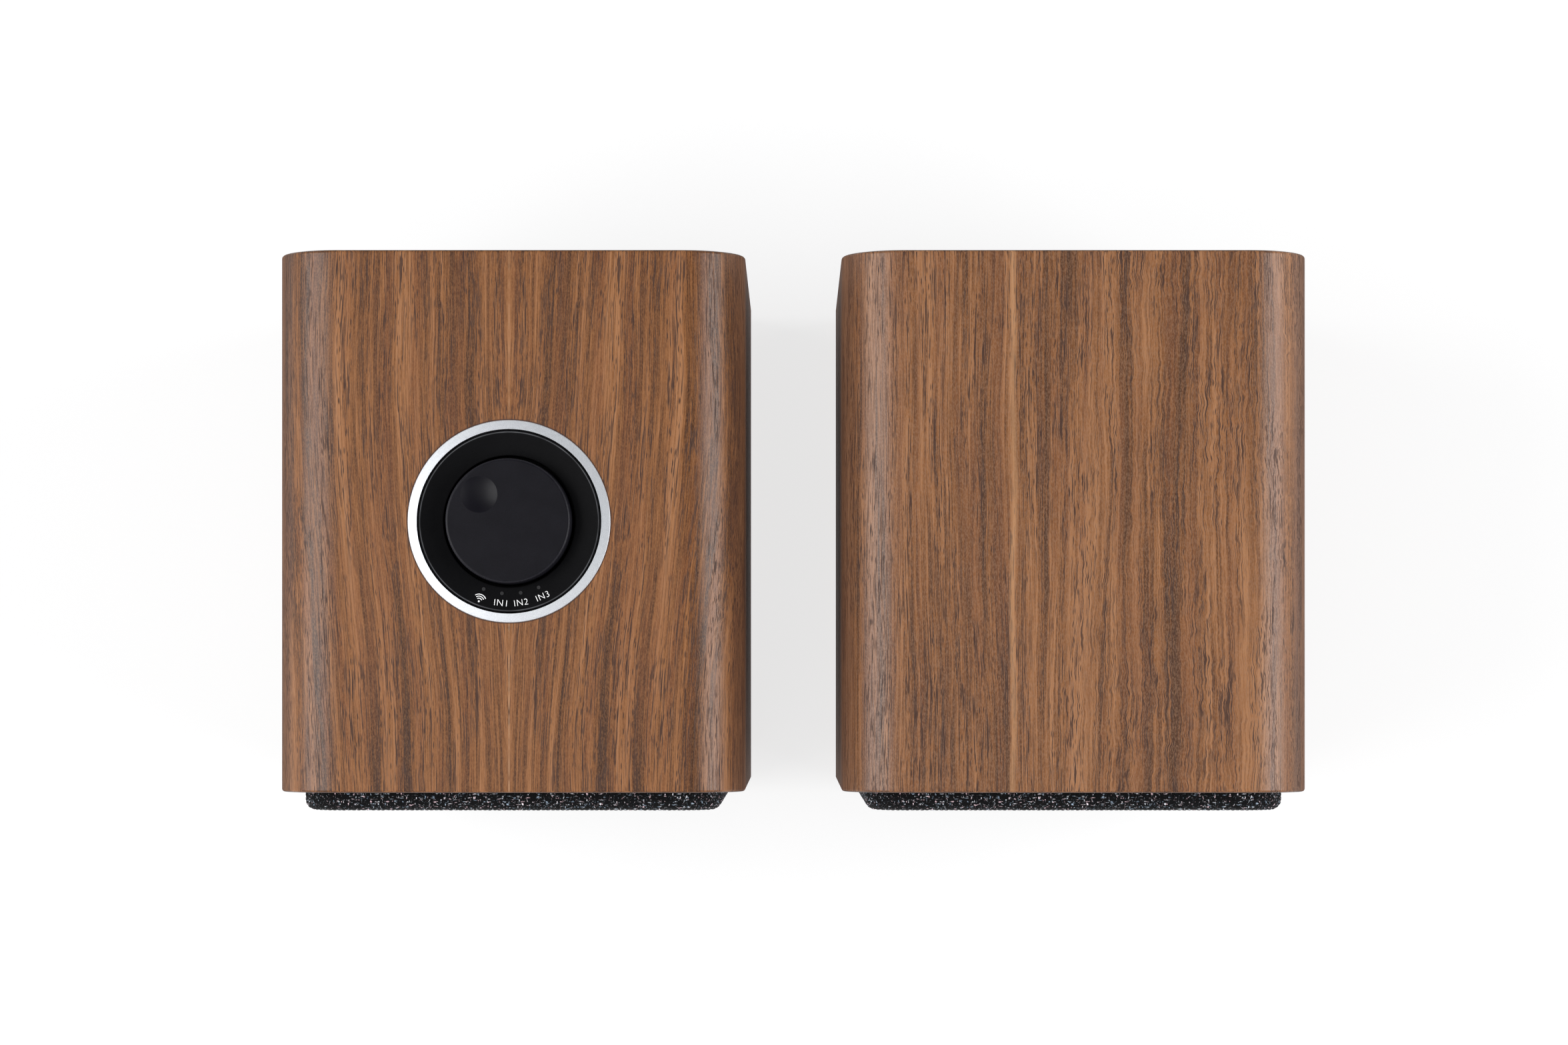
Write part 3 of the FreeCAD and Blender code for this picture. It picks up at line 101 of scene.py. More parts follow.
class Graph:
    """One material's nodes. Most calls add nodes and return the last one's output."""

    def __init__(self, name, **values):
        """Starts a material, with values for the shader's inputs of those names."""
        self.material = bpy.data.materials.new(name)
        self.material.use_nodes = True
        self.tree = self.material.node_tree
        self.shader = self.tree.nodes["Principled BSDF"]
        self.place = self.node("ShaderNodeTexCoord").outputs["Object"]
        self.x, self.y, self.z = self.split(self.place)
        for key, value in values.items():
            self.put(self.shader.inputs[key.replace("_", " ")], value)

    def node(self, kind, inputs=(), **settings):
        made = self.tree.nodes.new(kind)
        for key, value in settings.items():
            setattr(made, key, value)
        for key, value in dict(inputs).items():
            self.put(made.inputs[key], value)
        return made

    def put(self, socket, value):
        """Links the input to another node's output, or sets it to a plain value."""
        if isinstance(value, bpy.types.NodeSocket):
            self.tree.links.new(value, socket)
        else:
            socket.default_value = value

    def math(self, operation, *values):
        return self.node("ShaderNodeMath", enumerate(values), operation=operation).outputs[0]

    def plus(self, first, second):
        return self.math("ADD", first, second)

    def minus(self, first, second):
        return self.math("SUBTRACT", first, second)

    def times(self, first, second):
        return self.math("MULTIPLY", first, second)

    def weigh(self, first, weight, second, other_weight):
        """Sum of two values, each times its own weight."""
        return self.plus(self.times(first, weight), self.times(second, other_weight))

    def split(self, vector):
        return self.node("ShaderNodeSeparateXYZ", {0: vector}).outputs[:]

    def join(self, x, y, z):
        return self.node("ShaderNodeCombineXYZ", {0: x, 1: y, 2: z}).outputs[0]

    def scaled(self, vector, x, y, z):
        """The vector counted in cells of size x, y and z."""
        inputs = {0: vector, 1: (1 / x, 1 / y, 1 / z)}
        return self.node("ShaderNodeVectorMath", inputs, operation="MULTIPLY").outputs[0]

    def noise(self, vector, detail=2.0, roughness=0.5):
        inputs = {"Vector": vector, "Scale": 1.0, "Detail": detail, "Roughness": roughness}
        return self.node("ShaderNodeTexNoise", inputs).outputs[0]

    def speckle(self, size, detail=2.0, roughness=0.5):
        """Even noise with cells of that size in millimetres."""
        size = size * MM
        return self.noise(self.scaled(self.place, size, size, size), detail, roughness)

    def cells(self, vector):
        """Distance from the nearest of a scatter of points, about one in each cell."""
        inputs = {"Vector": vector, "Scale": 1.0}
        return self.node("ShaderNodeTexVoronoi", inputs).outputs["Distance"]

    def ease(self, value, low, high, start=0.0, end=1.0):
        """Value from low to high, mapped smoothly to start to end and held beyond them."""
        inputs = {"Value": value, "From Min": low, "From Max": high, "To Min": start, "To Max": end}
        return self.node("ShaderNodeMapRange", inputs, interpolation_type="SMOOTHSTEP").outputs[0]

    def near(self, value, place, reach):
        """1 where the value is at place, down to 0 at reach from it."""
        away = self.math("ABSOLUTE", self.minus(value, place))
        return self.ease(away, 0.0, reach, 1.0, 0.0)

    def mix(self, factor, first, second):
        made = self.node("ShaderNodeMix", data_type="RGBA", clamp_result=True)
        for number, value in ((0, factor), (6, first), (7, second)):
            self.put(made.inputs[number], value)
        return made.outputs[2]

    def ramp(self, factor, stops):
        """Colour that runs through the stops, each a position and a colour."""
        made = self.node("ShaderNodeValToRGB", {0: factor})
        elements = made.color_ramp.elements
        while len(elements) < len(stops):
            elements.new(0.5)
        for element, (position, colour) in zip(elements, stops):
            element.position = position
            element.color = colour
        return made.outputs[0]

    def dial_radius(self):
        """Distance from the dial's axis."""
        dx, dy = self.minus(self.x, DIAL.x), self.minus(self.y, DIAL.y)
        return self.math("SQRT", self.plus(self.times(dx, dx), self.times(dy, dy)))

    def bump(self, height, depth, under=None):
        """Bump of that depth in metres for heights of 0 to 1, over another bump if given."""
        inputs = {"Strength": 1.0, "Distance": depth, "Height": height}
        if under is not None:
            inputs["Normal"] = under
        return self.node("ShaderNodeBump", inputs).outputs[0]

    def finish(self, colour, roughness, normal):
        """Connects what varies over the surface and returns the material."""
        for key, value in (("Base Color", colour), ("Roughness", roughness), ("Normal", normal)):
            self.put(self.shader.inputs[key], value)
        return self.material


# ---------------------------------------------------------------- wood

# Each side's veneer: an offset to its tone, the shares of its broad bands and narrow streaks, where
# along the noise it is cut, and the least and most strength and the colour of its pale mottle.
LEAF = {
    "left": {"tone": -0.005, "bands": 0.38, "streaks": 0.2, "cut": 0.31,
             "mottle": (0.0, 0.3), "pale": screen(155, 109, 71)},
    "right": {"tone": 0.01, "bands": 0.27, "streaks": 0.31, "cut": 2.6,
              "mottle": (0.05, 0.4), "pale": screen(152, 117, 92)},
}
LINE_SHARE, FIBRE_SHARE = 0.28, 0.14
WALNUT_TONES = [
    (0.415, screen(57, 31, 15)),
    (0.465, screen(92, 55, 28)),
    (0.505, screen(118, 74, 39)),
    (0.545, screen(134, 88, 52)),
    (0.6, screen(154, 107, 71)),
]
RED_BROWN, RED_STRENGTH = screen(108, 63, 37), 0.35
PORE_BROWN, PORE_STRENGTH, PORE_DEPTH = screen(54, 30, 19), 0.92, 0.012 * MM
# Painted shade: the colour and strength of the darkening on the rounded edges and sides, for the
# shade that falls there.
PAINTED_SHADE_BROWN, PAINTED_SHADE_STRENGTH = screen(60, 34, 21), 0.55
FIBRE_DEPTH = 0.004 * MM
SATIN, FIBRE_ROUGHNESS, PORE_ROUGHNESS, EDGE_ROUGHNESS = 0.26, 0.12, 0.25, 0.4
LEAN = 9 * MM
CONVERGE, CONVERGE_LENGTH = 8 * MM, 120 * MM
RIPPLE, RIPPLE_START, RIPPLE_FULL = 1.5 * MM, -25 * MM, 15 * MM


def lay_fibres(g, side):
    """Coordinates along the fibres, which drift, and lean to the left's seam or ripple."""
    across = g.minus(g.x, CENTRE_X[side])
    drift = g.noise(g.scaled(g.place, 40 * MM, 130 * MM, 40 * MM))
    lean = g.times(g.minus(drift, 0.5), LEAN)
    if side == "left":
        across = g.math("ABSOLUTE", across)
        extra = g.ease(g.y, FRONT, FRONT + CONVERGE_LENGTH, CONVERGE, 0.0)
    else:
        ripple = g.noise(g.scaled(g.place, 6 * MM, 4 * MM, 6 * MM))
        extra = g.times(ripple, g.ease(across, RIPPLE_START, RIPPLE_FULL, 0.0, RIPPLE))
    across = g.plus(across, g.plus(lean, extra))
    return g.join(across, g.plus(g.y, LEAF[side]["cut"]), g.z)


def walnut(side):
    """Satin walnut, grained front to back: two matched leaves on the left, ripple on the right."""
    g = Graph(f"{side}_walnut", Specular_IOR_Level=0.38)
    leaf = LEAF[side]
    fibres = lay_fibres(g, side)

    def grain(width, length, detail=2.0, roughness=0.5):
        """Noise drawn out along the fibres, in cells of that width and length in millimetres."""
        return g.noise(g.scaled(fibres, width * MM, length * MM, width * MM), detail, roughness)

    fibre = grain(0.22, 5.0, 2.0, 0.6)
    tone = leaf["tone"]
    for layer, share in (
        (grain(5.0, 260.0), leaf["bands"]),
        (grain(1.1, 90.0, 3.0, 0.6), leaf["streaks"]),
        (grain(0.45, 32.0, 2.0, 0.6), LINE_SHARE),
        (fibre, FIBRE_SHARE),
    ):
        tone = g.math("MULTIPLY_ADD", layer, share, tone)
    colour = g.ramp(tone, WALNUT_TONES)
    red = g.ease(grain(4.0, 120.0), 0.45, 0.65, 0.0, RED_STRENGTH)
    colour = g.mix(red, colour, RED_BROWN)
    mottle = g.noise(g.scaled(g.place, 0.3 * MM, 0.75 * MM, 0.3 * MM), 2.0, 0.6)
    colour = g.mix(g.ease(mottle, 0.35, 0.7, *leaf["mottle"]), colour, leaf["pale"])

    crowd = g.ease(grain(3.0, 45.0, 1.0), 0.36, 0.58, 0.3, 1.0)
    hairline = g.ease(grain(0.26, 9.0, 1.0), 0.55, 0.63)
    dashes = g.cells(g.scaled(fibres, 0.6 * MM, 4.2 * MM, 0.6 * MM))
    dashes = g.ease(dashes, 0.12, 0.32, 1.0, 0.0)
    pore = g.times(g.math("MAXIMUM", hairline, dashes), crowd)
    colour = g.mix(g.times(pore, PORE_STRENGTH), colour, PORE_BROWN)

    beside = g.math("ABSOLUTE", g.minus(g.x, CENTRE_X[side]))
    half = (CABINET[side][1].x - CABINET[side][0].x) / 2
    # Painted shade: darker brown over the last few millimetres of the rounded edges and on the
    # sides, where less light falls.
    shade = g.ease(beside, half - 6 * MM, half - 1 * MM, 0.0, PAINTED_SHADE_STRENGTH)
    colour = g.mix(shade, colour, PAINTED_SHADE_BROWN)
    if side == "left":
        colour = painted_ring_gap_shade(g, matched_seam(g, colour))
    else:
        colour = pale_streak(g, colour)
    colour = end_faces(g, colour)

    roughness = g.math("MULTIPLY_ADD", fibre, FIBRE_ROUGHNESS, SATIN)
    roughness = g.math("MULTIPLY_ADD", pore, PORE_ROUGHNESS, roughness)
    matt = g.ease(beside, half - 5 * MM, half - 1 * MM, 0.0, EDGE_ROUGHNESS)
    roughness = g.plus(roughness, matt)
    relief = g.bump(g.minus(1.0, pore), PORE_DEPTH, g.bump(fibre, FIBRE_DEPTH))
    return g.finish(colour, roughness, relief)


def matched_seam(g, colour):
    """The pale joint between the left speaker's two leaves, clearest in front of the dial."""
    half_width, front_strength, rear_strength = 0.22 * MM, 0.45, 0.25
    line = g.near(g.x, CENTRE_X["left"], half_width)
    line = g.times(line, g.ease(g.z, TOP - 2 * MM, TOP - 1 * MM))
    strength = g.ease(g.y, DIAL.y, DIAL.y + 20 * MM, front_strength, rear_strength)
    line = g.times(line, strength)
    broken = g.noise(g.scaled(g.place, 9 * MM, 5 * MM, 9 * MM))
    line = g.times(line, g.ease(broken, 0.3, 0.55))
    return g.mix(line, colour, screen(206, 168, 132))


def painted_ring_gap_shade(g, colour):
    """Painted shade: a thin dark line in the wood round the dial's ring, for the gap's shadow."""
    inner, outer, strength = RING_RADIUS + 0.1 * MM, RING_RADIUS + 0.45 * MM, 0.8
    # Painted shade: darkens the wood just outside the ring, where the gap lies in shadow.
    line = g.ease(g.dial_radius(), inner, outer, strength, 0.0)
    return g.mix(line, colour, screen(58, 28, 16))


def pale_streak(g, colour):
    """A lighter streak that runs the whole depth of the right speaker's top."""
    place, half_width, strength = -15.6 * MM, 1.3 * MM, 0.32
    wobble = g.times(g.noise(g.scaled(g.place, 1.0, 45 * MM, 1.0)), 4 * MM)
    across = g.plus(g.minus(g.x, CENTRE_X["right"]), wobble)
    line = g.times(g.near(across, place, half_width), strength)
    return g.mix(line, colour, screen(190, 146, 106))


def end_faces(g, colour):
    """Darker stained edges where the veneer stops at the front and the rear."""
    stained, clean, strength = 0.1 * MM, 0.35 * MM, 0.82
    front = g.ease(g.y, FRONT + stained, FRONT + clean, 1.0, 0.0)
    rear = g.ease(g.y, REAR - clean, REAR - stained)
    edge = g.times(g.math("MAXIMUM", front, rear), strength)
    grain = g.noise(g.scaled(g.place, 0.5 * MM, 0.5 * MM, 3 * MM), 3.0)
    stain = g.ramp(grain, [(0.3, screen(38, 24, 17)), (0.7, screen(70, 46, 32))])
    return g.mix(edge, colour, stain)


def stained_board():
    """Black-stained fibreboard with a faint fibre."""
    g = Graph("black_board")
    fibre = g.noise(g.scaled(g.place, 0.5 * MM, 0.5 * MM, 2.4 * MM), 3.0, 0.6)
    tone = g.weigh(fibre, 0.6, g.speckle(18), 0.4)
    colour = g.ramp(tone, [(0.3, screen(15, 15, 16)), (0.7, screen(31, 31, 33))])
    return g.finish(colour, g.ease(fibre, 0.3, 0.7, 0.5, 0.68), g.bump(fibre, 0.03 * MM))


# ---------------------------------------------------------------- plain finishes


def moulded(name, colour, roughness=0.5, grain=0.3, depth=0.02):
    """Moulded plastic, rubber, cloth or ink: soft mottling, and a fine texture of that grain and
    depth in millimetres."""
    g = Graph(name)
    texture = g.speckle(grain)
    cloud = g.speckle(14, 3.0)
    tone = g.weigh(texture, 0.6, cloud, 0.4)
    mottled = g.ramp(tone, [(0.35, brighter(colour, 0.82)), (0.65, brighter(colour, 1.18))])
    varied = g.ease(cloud, 0.35, 0.65, roughness - 0.04, roughness + 0.05)
    return g.finish(mottled, varied, g.bump(texture, depth * MM))


def metal(name, colour, roughness, stretch=(1, 1, 1)):
    """Bare metal: blasted where the stretch is even, brushed or turned where it isn't."""
    g = Graph(name, Metallic=1.0)
    grain = [0.25 * MM * value for value in stretch]
    texture = g.noise(g.scaled(g.place, *grain), 3.0, 0.6)
    tone = g.weigh(texture, 0.7, g.speckle(9), 0.3)
    shaded = g.ramp(tone, [(0.3, brighter(colour, 0.9)), (0.7, colour)])
    varied = g.ease(texture, 0.3, 0.7, roughness - 0.07, roughness + 0.07)
    return g.finish(shaded, varied, g.bump(texture, 0.01 * MM))


def painted(name, colour, roughness=0.42, peel=0.9, depth=0.03):
    """Paint or powder coat, with the orange peel it dries with, of that size and depth in
    millimetres."""
    g = Graph(name)
    skin = g.speckle(peel)
    speck = g.speckle(0.2, 1.0)
    flecked = g.ramp(speck, [(0.3, colour), (0.75, brighter(colour, 1.3))])
    varied = g.ease(skin, 0.3, 0.7, roughness, roughness + 0.1)
    return g.finish(flecked, varied, g.bump(speck, 0.008 * MM, g.bump(skin, depth * MM)))


# ---------------------------------------------------------------- dial

# The dish's slope, from its edge at the knob to its edge at the ring, as the CAD makes it.
DISH_INNER, DISH_OUTER = 18.3 * MM, 24.8 * MM
DISH_LOW, DISH_HIGH = TOP - 1.0 * MM, TOP - 0.2 * MM
KNOB_RADIUS = 17.0 * MM
CROWN_SLOPE = 0.08


def ring_finish():
    """Fine-blasted aluminium, polished to a slight crown so that it shades round the dial."""
    g = Graph("trim_aluminium", Metallic=1.0)
    blast = g.speckle(0.22, roughness=0.7)
    inward = g.math("DIVIDE", g.minus(RING_RADIUS, g.dial_radius()), RING_RADIUS)
    crown = g.times(g.ease(g.z, TOP, TOP + 0.1 * MM), inward)
    colour = g.ramp(blast, [(0.3, screen(216, 219, 224)), (0.7, screen(240, 243, 247))])
    relief = g.bump(blast, 0.02 * MM, g.bump(crown, CROWN_SLOPE * RING_RADIUS))
    return g.finish(colour, g.ease(blast, 0.3, 0.7, 0.34, 0.46), relief)


def dish_finish():
    """Speckled dark satin dish: painted shade round the knob, a painted highlight on its rim."""
    g = Graph("dial_dish", Specular_IOR_Level=0.07)
    speck = g.speckle(0.16, roughness=0.7)
    cloud = g.speckle(5)
    radius = g.dial_radius()
    tone = g.weigh(speck, 0.8, cloud, 0.2)
    colour = g.ramp(tone, [(0.3, screen(4, 4, 5)), (0.72, screen(14, 14, 16))])
    # Painted shade in the groove between the dish and the knob.
    painted_groove_shade = g.ease(radius, DISH_INNER, DISH_INNER + 0.5 * MM, 0.8, 0.0)
    colour = g.mix(painted_groove_shade, colour, screen(3, 3, 4))
    # Painted highlight: a pale line on the dish's rounded outer lip.
    painted_rim_highlight = g.near(radius, DISH_OUTER - 0.1 * MM, 0.25 * MM)
    painted_rim_highlight = g.times(painted_rim_highlight, g.ease(cloud, 0.3, 0.7, 0.4, 0.9))
    colour = g.mix(painted_rim_highlight, colour, screen(92, 93, 96))
    return g.finish(colour, g.ease(speck, 0.3, 0.7, 0.34, 0.5), g.bump(speck, 0.015 * MM))


def knob_finish():
    """Soft-touch grey-black knob, finely grained, with a painted highlight at its rounded edge."""
    g = Graph("dial_knob_finish", Specular_IOR_Level=0.16)
    grain = g.speckle(0.22, roughness=0.6)
    cloud = g.speckle(8)
    tone = g.weigh(grain, 0.7, cloud, 0.3)
    colour = g.ramp(tone, [(0.3, screen(8, 7, 12)), (0.7, screen(16, 15, 22))])
    # Painted highlight: paler grey on the knob's rounded edge.
    painted_edge_highlight = g.near(g.dial_radius(), KNOB_RADIUS, 0.5 * MM)
    painted_edge_highlight = g.times(painted_edge_highlight, g.ease(grain, 0.35, 0.6, 0.15, 0.5))
    colour = g.mix(painted_edge_highlight, colour, screen(52, 52, 58))
    return g.finish(colour, g.ease(cloud, 0.3, 0.7, 0.36, 0.44), g.bump(grain, 0.01 * MM))


# ---------------------------------------------------------------- cloth

YARN_ACROSS, YARN_UP = 1.35 * MM, 1.05 * MM
SAMPLES_ACROSS, SAMPLES_UP = 3, 2
YARN_HEIGHT = 0.34 * MM
# A yarn's half width, in crossings, and how far it rises over the yarn that it crosses.
YARN_HALF_WIDTH, YARN_WAVE = 0.56, 0.8
# How a yarn's fibres lie in the noise: cells to a crossing along and across the yarn, the jump from
# one yarn to the next, and how far the warp is from the weft.
FIBRES_ALONG, FIBRES_ACROSS = 0.75, 2.2
ROW_STEP, COLUMN_STEP = 3.7, 5.3
WARP_LEVEL = 40.0
GRILLE_CORNER, GRILLE_ROUND = 11 * MM, 3 * MM
TUCK, BACK_GAP = 1.2 * MM, 0.05 * MM


def grille_weave():
    """Dark yarns with blue-grey, white and pinkish fibres, read from the cloth's own weave."""
    g = Graph("grille_weave", Sheen_Weight=0.03, Sheen_Roughness=0.5, Specular_IOR_Level=0.15)
    weave = g.node("ShaderNodeAttribute", attribute_name="weave", attribute_type="GEOMETRY")
    u, v, height = g.split(weave.outputs["Vector"])
    column, row = g.math("FLOOR", u), g.math("FLOOR", v)
    # The even thousand keeps the remainder from going negative at the cloth's cut edge.
    over = g.math("MODULO", g.plus(g.plus(column, row), 1000.0), 2.0)
    over = g.math("GREATER_THAN", over, 0.5)
    weft = g.join(g.times(u, FIBRES_ALONG), g.weigh(row, ROW_STEP, v, FIBRES_ACROSS), 0.0)
    warp = g.weigh(column, COLUMN_STEP, u, FIBRES_ACROSS)
    warp = g.join(warp, g.times(v, FIBRES_ALONG), WARP_LEVEL)
    place = g.node("ShaderNodeMix", {0: over, 4: warp, 5: weft}, data_type="VECTOR").outputs[1]
    yarn = g.noise(place, 4.0, 0.7)
    tint = g.noise(g.scaled(place, 1.6, 1.6, 1.0), 0.0)
    light = g.ramp(tint, [
        (0.36, screen(158, 176, 196)),
        (0.5, screen(230, 234, 240)),
        (0.64, screen(238, 206, 214)),
    ])
    dark = g.ramp(yarn, [
        (0.4, screen(2, 2, 3)),
        (0.5, screen(7, 8, 10)),
        (0.57, screen(12, 14, 17)),
    ])
    fleck = g.ease(yarn, 0.565, 0.62)
    # Painted shade: the low places between the yarns are darkened towards near black.
    painted_hollow_shade = g.ease(height, 0.1, 0.7, 0.92, 0.0)
    colour = g.mix(painted_hollow_shade, g.mix(fleck, dark, light), screen(4, 4, 5))
    strand = g.noise(g.scaled(place, 1.0, 0.22, 1.0))
    return g.finish(colour, g.ease(strand, 0.3, 0.7, 0.75, 0.92), g.bump(strand, 0.09 * MM))


def cloth_profile(reach, depth):
    """How far out and back the cloth goes, and how far it has turned, at a distance over it from
    the grille's flat middle."""
    flat = GRILLE_CORNER - GRILLE_ROUND
    bend = GRILLE_ROUND * math.pi / 2
    turned = np.clip((reach - flat) / GRILLE_ROUND, 0, math.pi / 2)
    straight = np.clip(reach - flat - bend, 0, depth - GRILLE_ROUND)
    tucked = np.clip(reach - flat - bend - (depth - GRILLE_ROUND), 0, None)
    out = np.minimum(reach, flat) + GRILLE_ROUND * np.sin(turned) - tucked
    back = GRILLE_ROUND * (1 - np.cos(turned)) + straight
    return out, back, turned


def weave_height(u, v):
    """Height from 0 to 1 of a plain weave of slightly uneven yarns, at yarn coordinates u and v."""
    column, row = np.floor(u), np.floor(v)
    cross_u, cross_v = u - column - 0.5, v - row - 0.5
    sign = np.where((column + row) % 2 > 0.5, 1.0, -1.0)
    swell = 0.5 + 0.5 * np.sin(3.23 * column + 0.8 * v) * np.sin(2.3 * row + 0.7 * u)
    rounds = [np.clip(1 - (cross / YARN_HALF_WIDTH) ** 2, 0, 1) for cross in (cross_u, cross_v)]
    weft = np.sqrt(rounds[1]) + sign * np.cos(cross_u * math.pi) * YARN_WAVE
    warp = np.sqrt(rounds[0]) - sign * np.cos(cross_v * math.pi) * YARN_WAVE
    return np.clip((np.maximum(weft, warp) - 0.5) / 1.3, 0, 1) * (0.8 + 0.2 * swell)


def grid_of(lines):
    """Every pairing of two lines of numbers, as two flat arrays."""
    return (grid.ravel() for grid in np.meshgrid(*lines, indexing="ij"))


def grille_cloth(side, material):
    """The woven cloth pulled over the grille's frame, with every yarn in its surface."""
    low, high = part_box(f"{side}_grille_cloth")
    centre = middle((low, high))
    depth = high.y - low.y - BACK_GAP
    half = (high - low) / 2
    core = (half.x - GRILLE_CORNER, half.z - GRILLE_CORNER)
    reach = GRILLE_CORNER - GRILLE_ROUND + GRILLE_ROUND * math.pi / 2 + depth - GRILLE_ROUND + TUCK
    spans = [size + reach for size in core]
    yarns = [round(2 * span / pitch) for span, pitch in zip(spans, (YARN_ACROSS, YARN_UP))]
    steps = [yarns[0] * SAMPLES_ACROSS + 1, yarns[1] * SAMPLES_UP + 1]
    u, v = grid_of([np.linspace(-span, span, count) for span, count in zip(spans, steps)])
    yarn_u, yarn_v = grid_of([np.linspace(0, last, count) for last, count in zip(yarns, steps)])

    inside_u, inside_v = np.clip(u, -core[0], core[0]), np.clip(v, -core[1], core[1])
    edge_u, edge_v = u - inside_u, v - inside_v
    away = np.hypot(edge_u, edge_v)
    out, back, turned = cloth_profile(np.minimum(away, reach), depth)
    rise = weave_height(yarn_u, yarn_v)
    sink = (1 - rise) * YARN_HEIGHT
    out = out - sink * np.sin(turned)
    back = back + sink * np.cos(turned)
    safe = np.maximum(away, 1e-9)
    points = np.stack([
        centre.x + inside_u + edge_u / safe * out,
        low.y + back,
        centre.z + inside_v + edge_v / safe * out,
    ], axis=1)
    faces = grid_faces(steps, away <= reach + YARN_ACROSS)
    yarn_places = np.stack([yarn_u, yarn_v, rise], axis=1)
    piece = mesh_piece(f"{side}_cloth", points, faces, material, weave=yarn_places)
    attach(piece, f"{side}_grille")
    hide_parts(f"{side}_grille_cloth")


def grid_faces(steps, kept):
    """Quads of a grid of points, leaving out those that have a corner which isn't kept."""
    number = np.arange(steps[0] * steps[1]).reshape(steps)
    corners = [number[:-1, :-1], number[1:, :-1], number[1:, 1:], number[:-1, 1:]]
    quads = np.stack(corners, axis=-1).reshape(-1, 4)
    return quads[kept[quads].all(axis=1)]


def link(thing):
    """Puts a new object in the scene."""
    bpy.context.scene.collection.objects.link(thing)
    return thing


def mesh_piece(name, points, faces, material, **vectors):
    """A smooth mesh object of the points that its quads use, with a named vector on each point."""
    used, faces = np.unique(faces, return_inverse=True)
    mesh = bpy.data.meshes.new(name)
    mesh.from_pydata(points[used].tolist(), [], faces.reshape(-1, 4).tolist())
    mesh.polygons.foreach_set("use_smooth", np.ones(len(mesh.polygons), bool))
    mesh.materials.append(material)
    for key, values in vectors.items():
        layer = mesh.attributes.new(key, "FLOAT_VECTOR", "POINT")
        layer.data.foreach_set("vector", values[used].astype(np.float32).ravel())
    return link(bpy.data.objects.new(name, mesh))


# ---------------------------------------------------------------- printed marks

PRINT = 0.03 * MM
LABEL_RADIUS = 22.6 * MM
LABEL_HEIGHT = 1.7 * MM
ICON_HEIGHT, ICON_ANGLE = 2.2 * MM, -20.8
LABEL_ANGLES = (-6.0, 8.4, 24.1)
SIGN_HEIGHT = 2.2 * MM
# Rows on the rear: height, places along the row, and how far the signs are above or below it.
POST_ROW, POST_REACH, POST_SIGN_RISE = 66 * MM, 9.525 * MM, 10 * MM
SOCKET_ROW, PHONO_PLACES, PHONO_SIGN_RISE = 96 * MM, (-36 * MM, -20 * MM), 8.5 * MM
SWITCH_ROW, SWITCH_PLACE, SWITCH_SIGN_RISE = 32 * MM, 15 * MM, 12.5 * MM
PLUS_HEIGHT, MINUS_HEIGHT = 2.6 * MM, 0.4 * MM


def lettering(words):
    """Points and faces of plain lettering, centred, one unit high and thick."""
    curve = bpy.data.curves.new("lettering", "FONT")
    curve.body = words
    curve.extrude = 0.5
    curve.offset = -0.012
    curve.space_character = 1.12
    curve.resolution_u = 4
    holder = bpy.data.objects.new("lettering", curve)
    mesh = bpy.data.meshes.new_from_object(holder)
    points = np.array([point.co for point in mesh.vertices])
    faces = [list(face.vertices) for face in mesh.polygons]
    bpy.data.objects.remove(holder)
    low, high = points.min(axis=0), points.max(axis=0)
    points[:, :2] = (points[:, :2] - (low[:2] + high[:2]) / 2) / (high[1] - low[1])
    points[:, 2] = (points[:, 2] - low[2]) / (high[2] - low[2])
    return points, faces


def wireless_icon():
    """Points and faces of three arcs over a dot, about one unit high and one thick."""
    points, faces = [], []
    stroke, drop = 0.1, 0.46
    dot = (0.0, 0.12, math.pi, 20)
    arcs = [(radius, radius + stroke, math.radians(50), 12) for radius in (0.34, 0.6, 0.86)]
    for inner, outer, spread, count in [dot] + arcs:
        start = len(points)
        for angle in np.linspace(-spread, spread, count + 1):
            for radius in (inner, outer):
                x, y = radius * math.sin(angle), radius * math.cos(angle) - drop
                points += [(x, y, 0.0), (x, y, 1.0)]
        end = start + 4 * count
        for a in range(start, end, 4):
            b = a + 4
            faces += [[a + 1, b + 1, b + 3, a + 3], [a, a + 2, b + 2, b],
                      [a + 2, a + 3, b + 3, b + 2], [a, b, b + 1, a + 1]]
        faces += [[start, start + 1, start + 3, start + 2], [end, end + 2, end + 3, end + 1]]
    return np.array(points), faces


def mark(name, shape, placed, body, ink):
    """A printed mark: a shape of points and faces, put on the speaker by the function placed."""
    points, faces = shape
    mesh = bpy.data.meshes.new(name)
    mesh.from_pydata([placed(*point) for point in points.tolist()], [], faces)
    mesh.materials.append(ink)
    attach(link(bpy.data.objects.new(name, mesh)), body)


def on_dish(degrees, height):
    """Places a mark on the dish's slope, that far round from the front, its top to the knob."""
    turn = math.radians(degrees)

    def placed(x, y, z):
        across, out = x * height, LABEL_RADIUS - y * height
        px = out * math.sin(turn) + across * math.cos(turn)
        py = -out * math.cos(turn) + across * math.sin(turn)
        share = (math.hypot(px, py) - DISH_INNER) / (DISH_OUTER - DISH_INNER)
        level = DISH_LOW + share * (DISH_HIGH - DISH_LOW)
        return DIAL.x + px, DIAL.y + py, level + z * PRINT

    return placed


def on_back(side, x, z, height):
    """Places a mark on a speaker's rear, x from its middle and z from the desk, to be read from
    behind."""

    def placed(across, up, out):
        return CENTRE_X[side] + x - across * height, PANEL + out * PRINT, z + up * height

    return placed


def dial_marks(ink):
    """Input marks under the four lenses: wireless and three numbered inputs."""
    mark("mark_wireless", wireless_icon(), on_dish(ICON_ANGLE, ICON_HEIGHT), "left_speaker", ink)
    for number, degrees in enumerate(LABEL_ANGLES, 1):
        mark(f"mark_input_{number}", lettering(f"IN{number}"), on_dish(degrees, LABEL_HEIGHT),
             "left_speaker", ink)


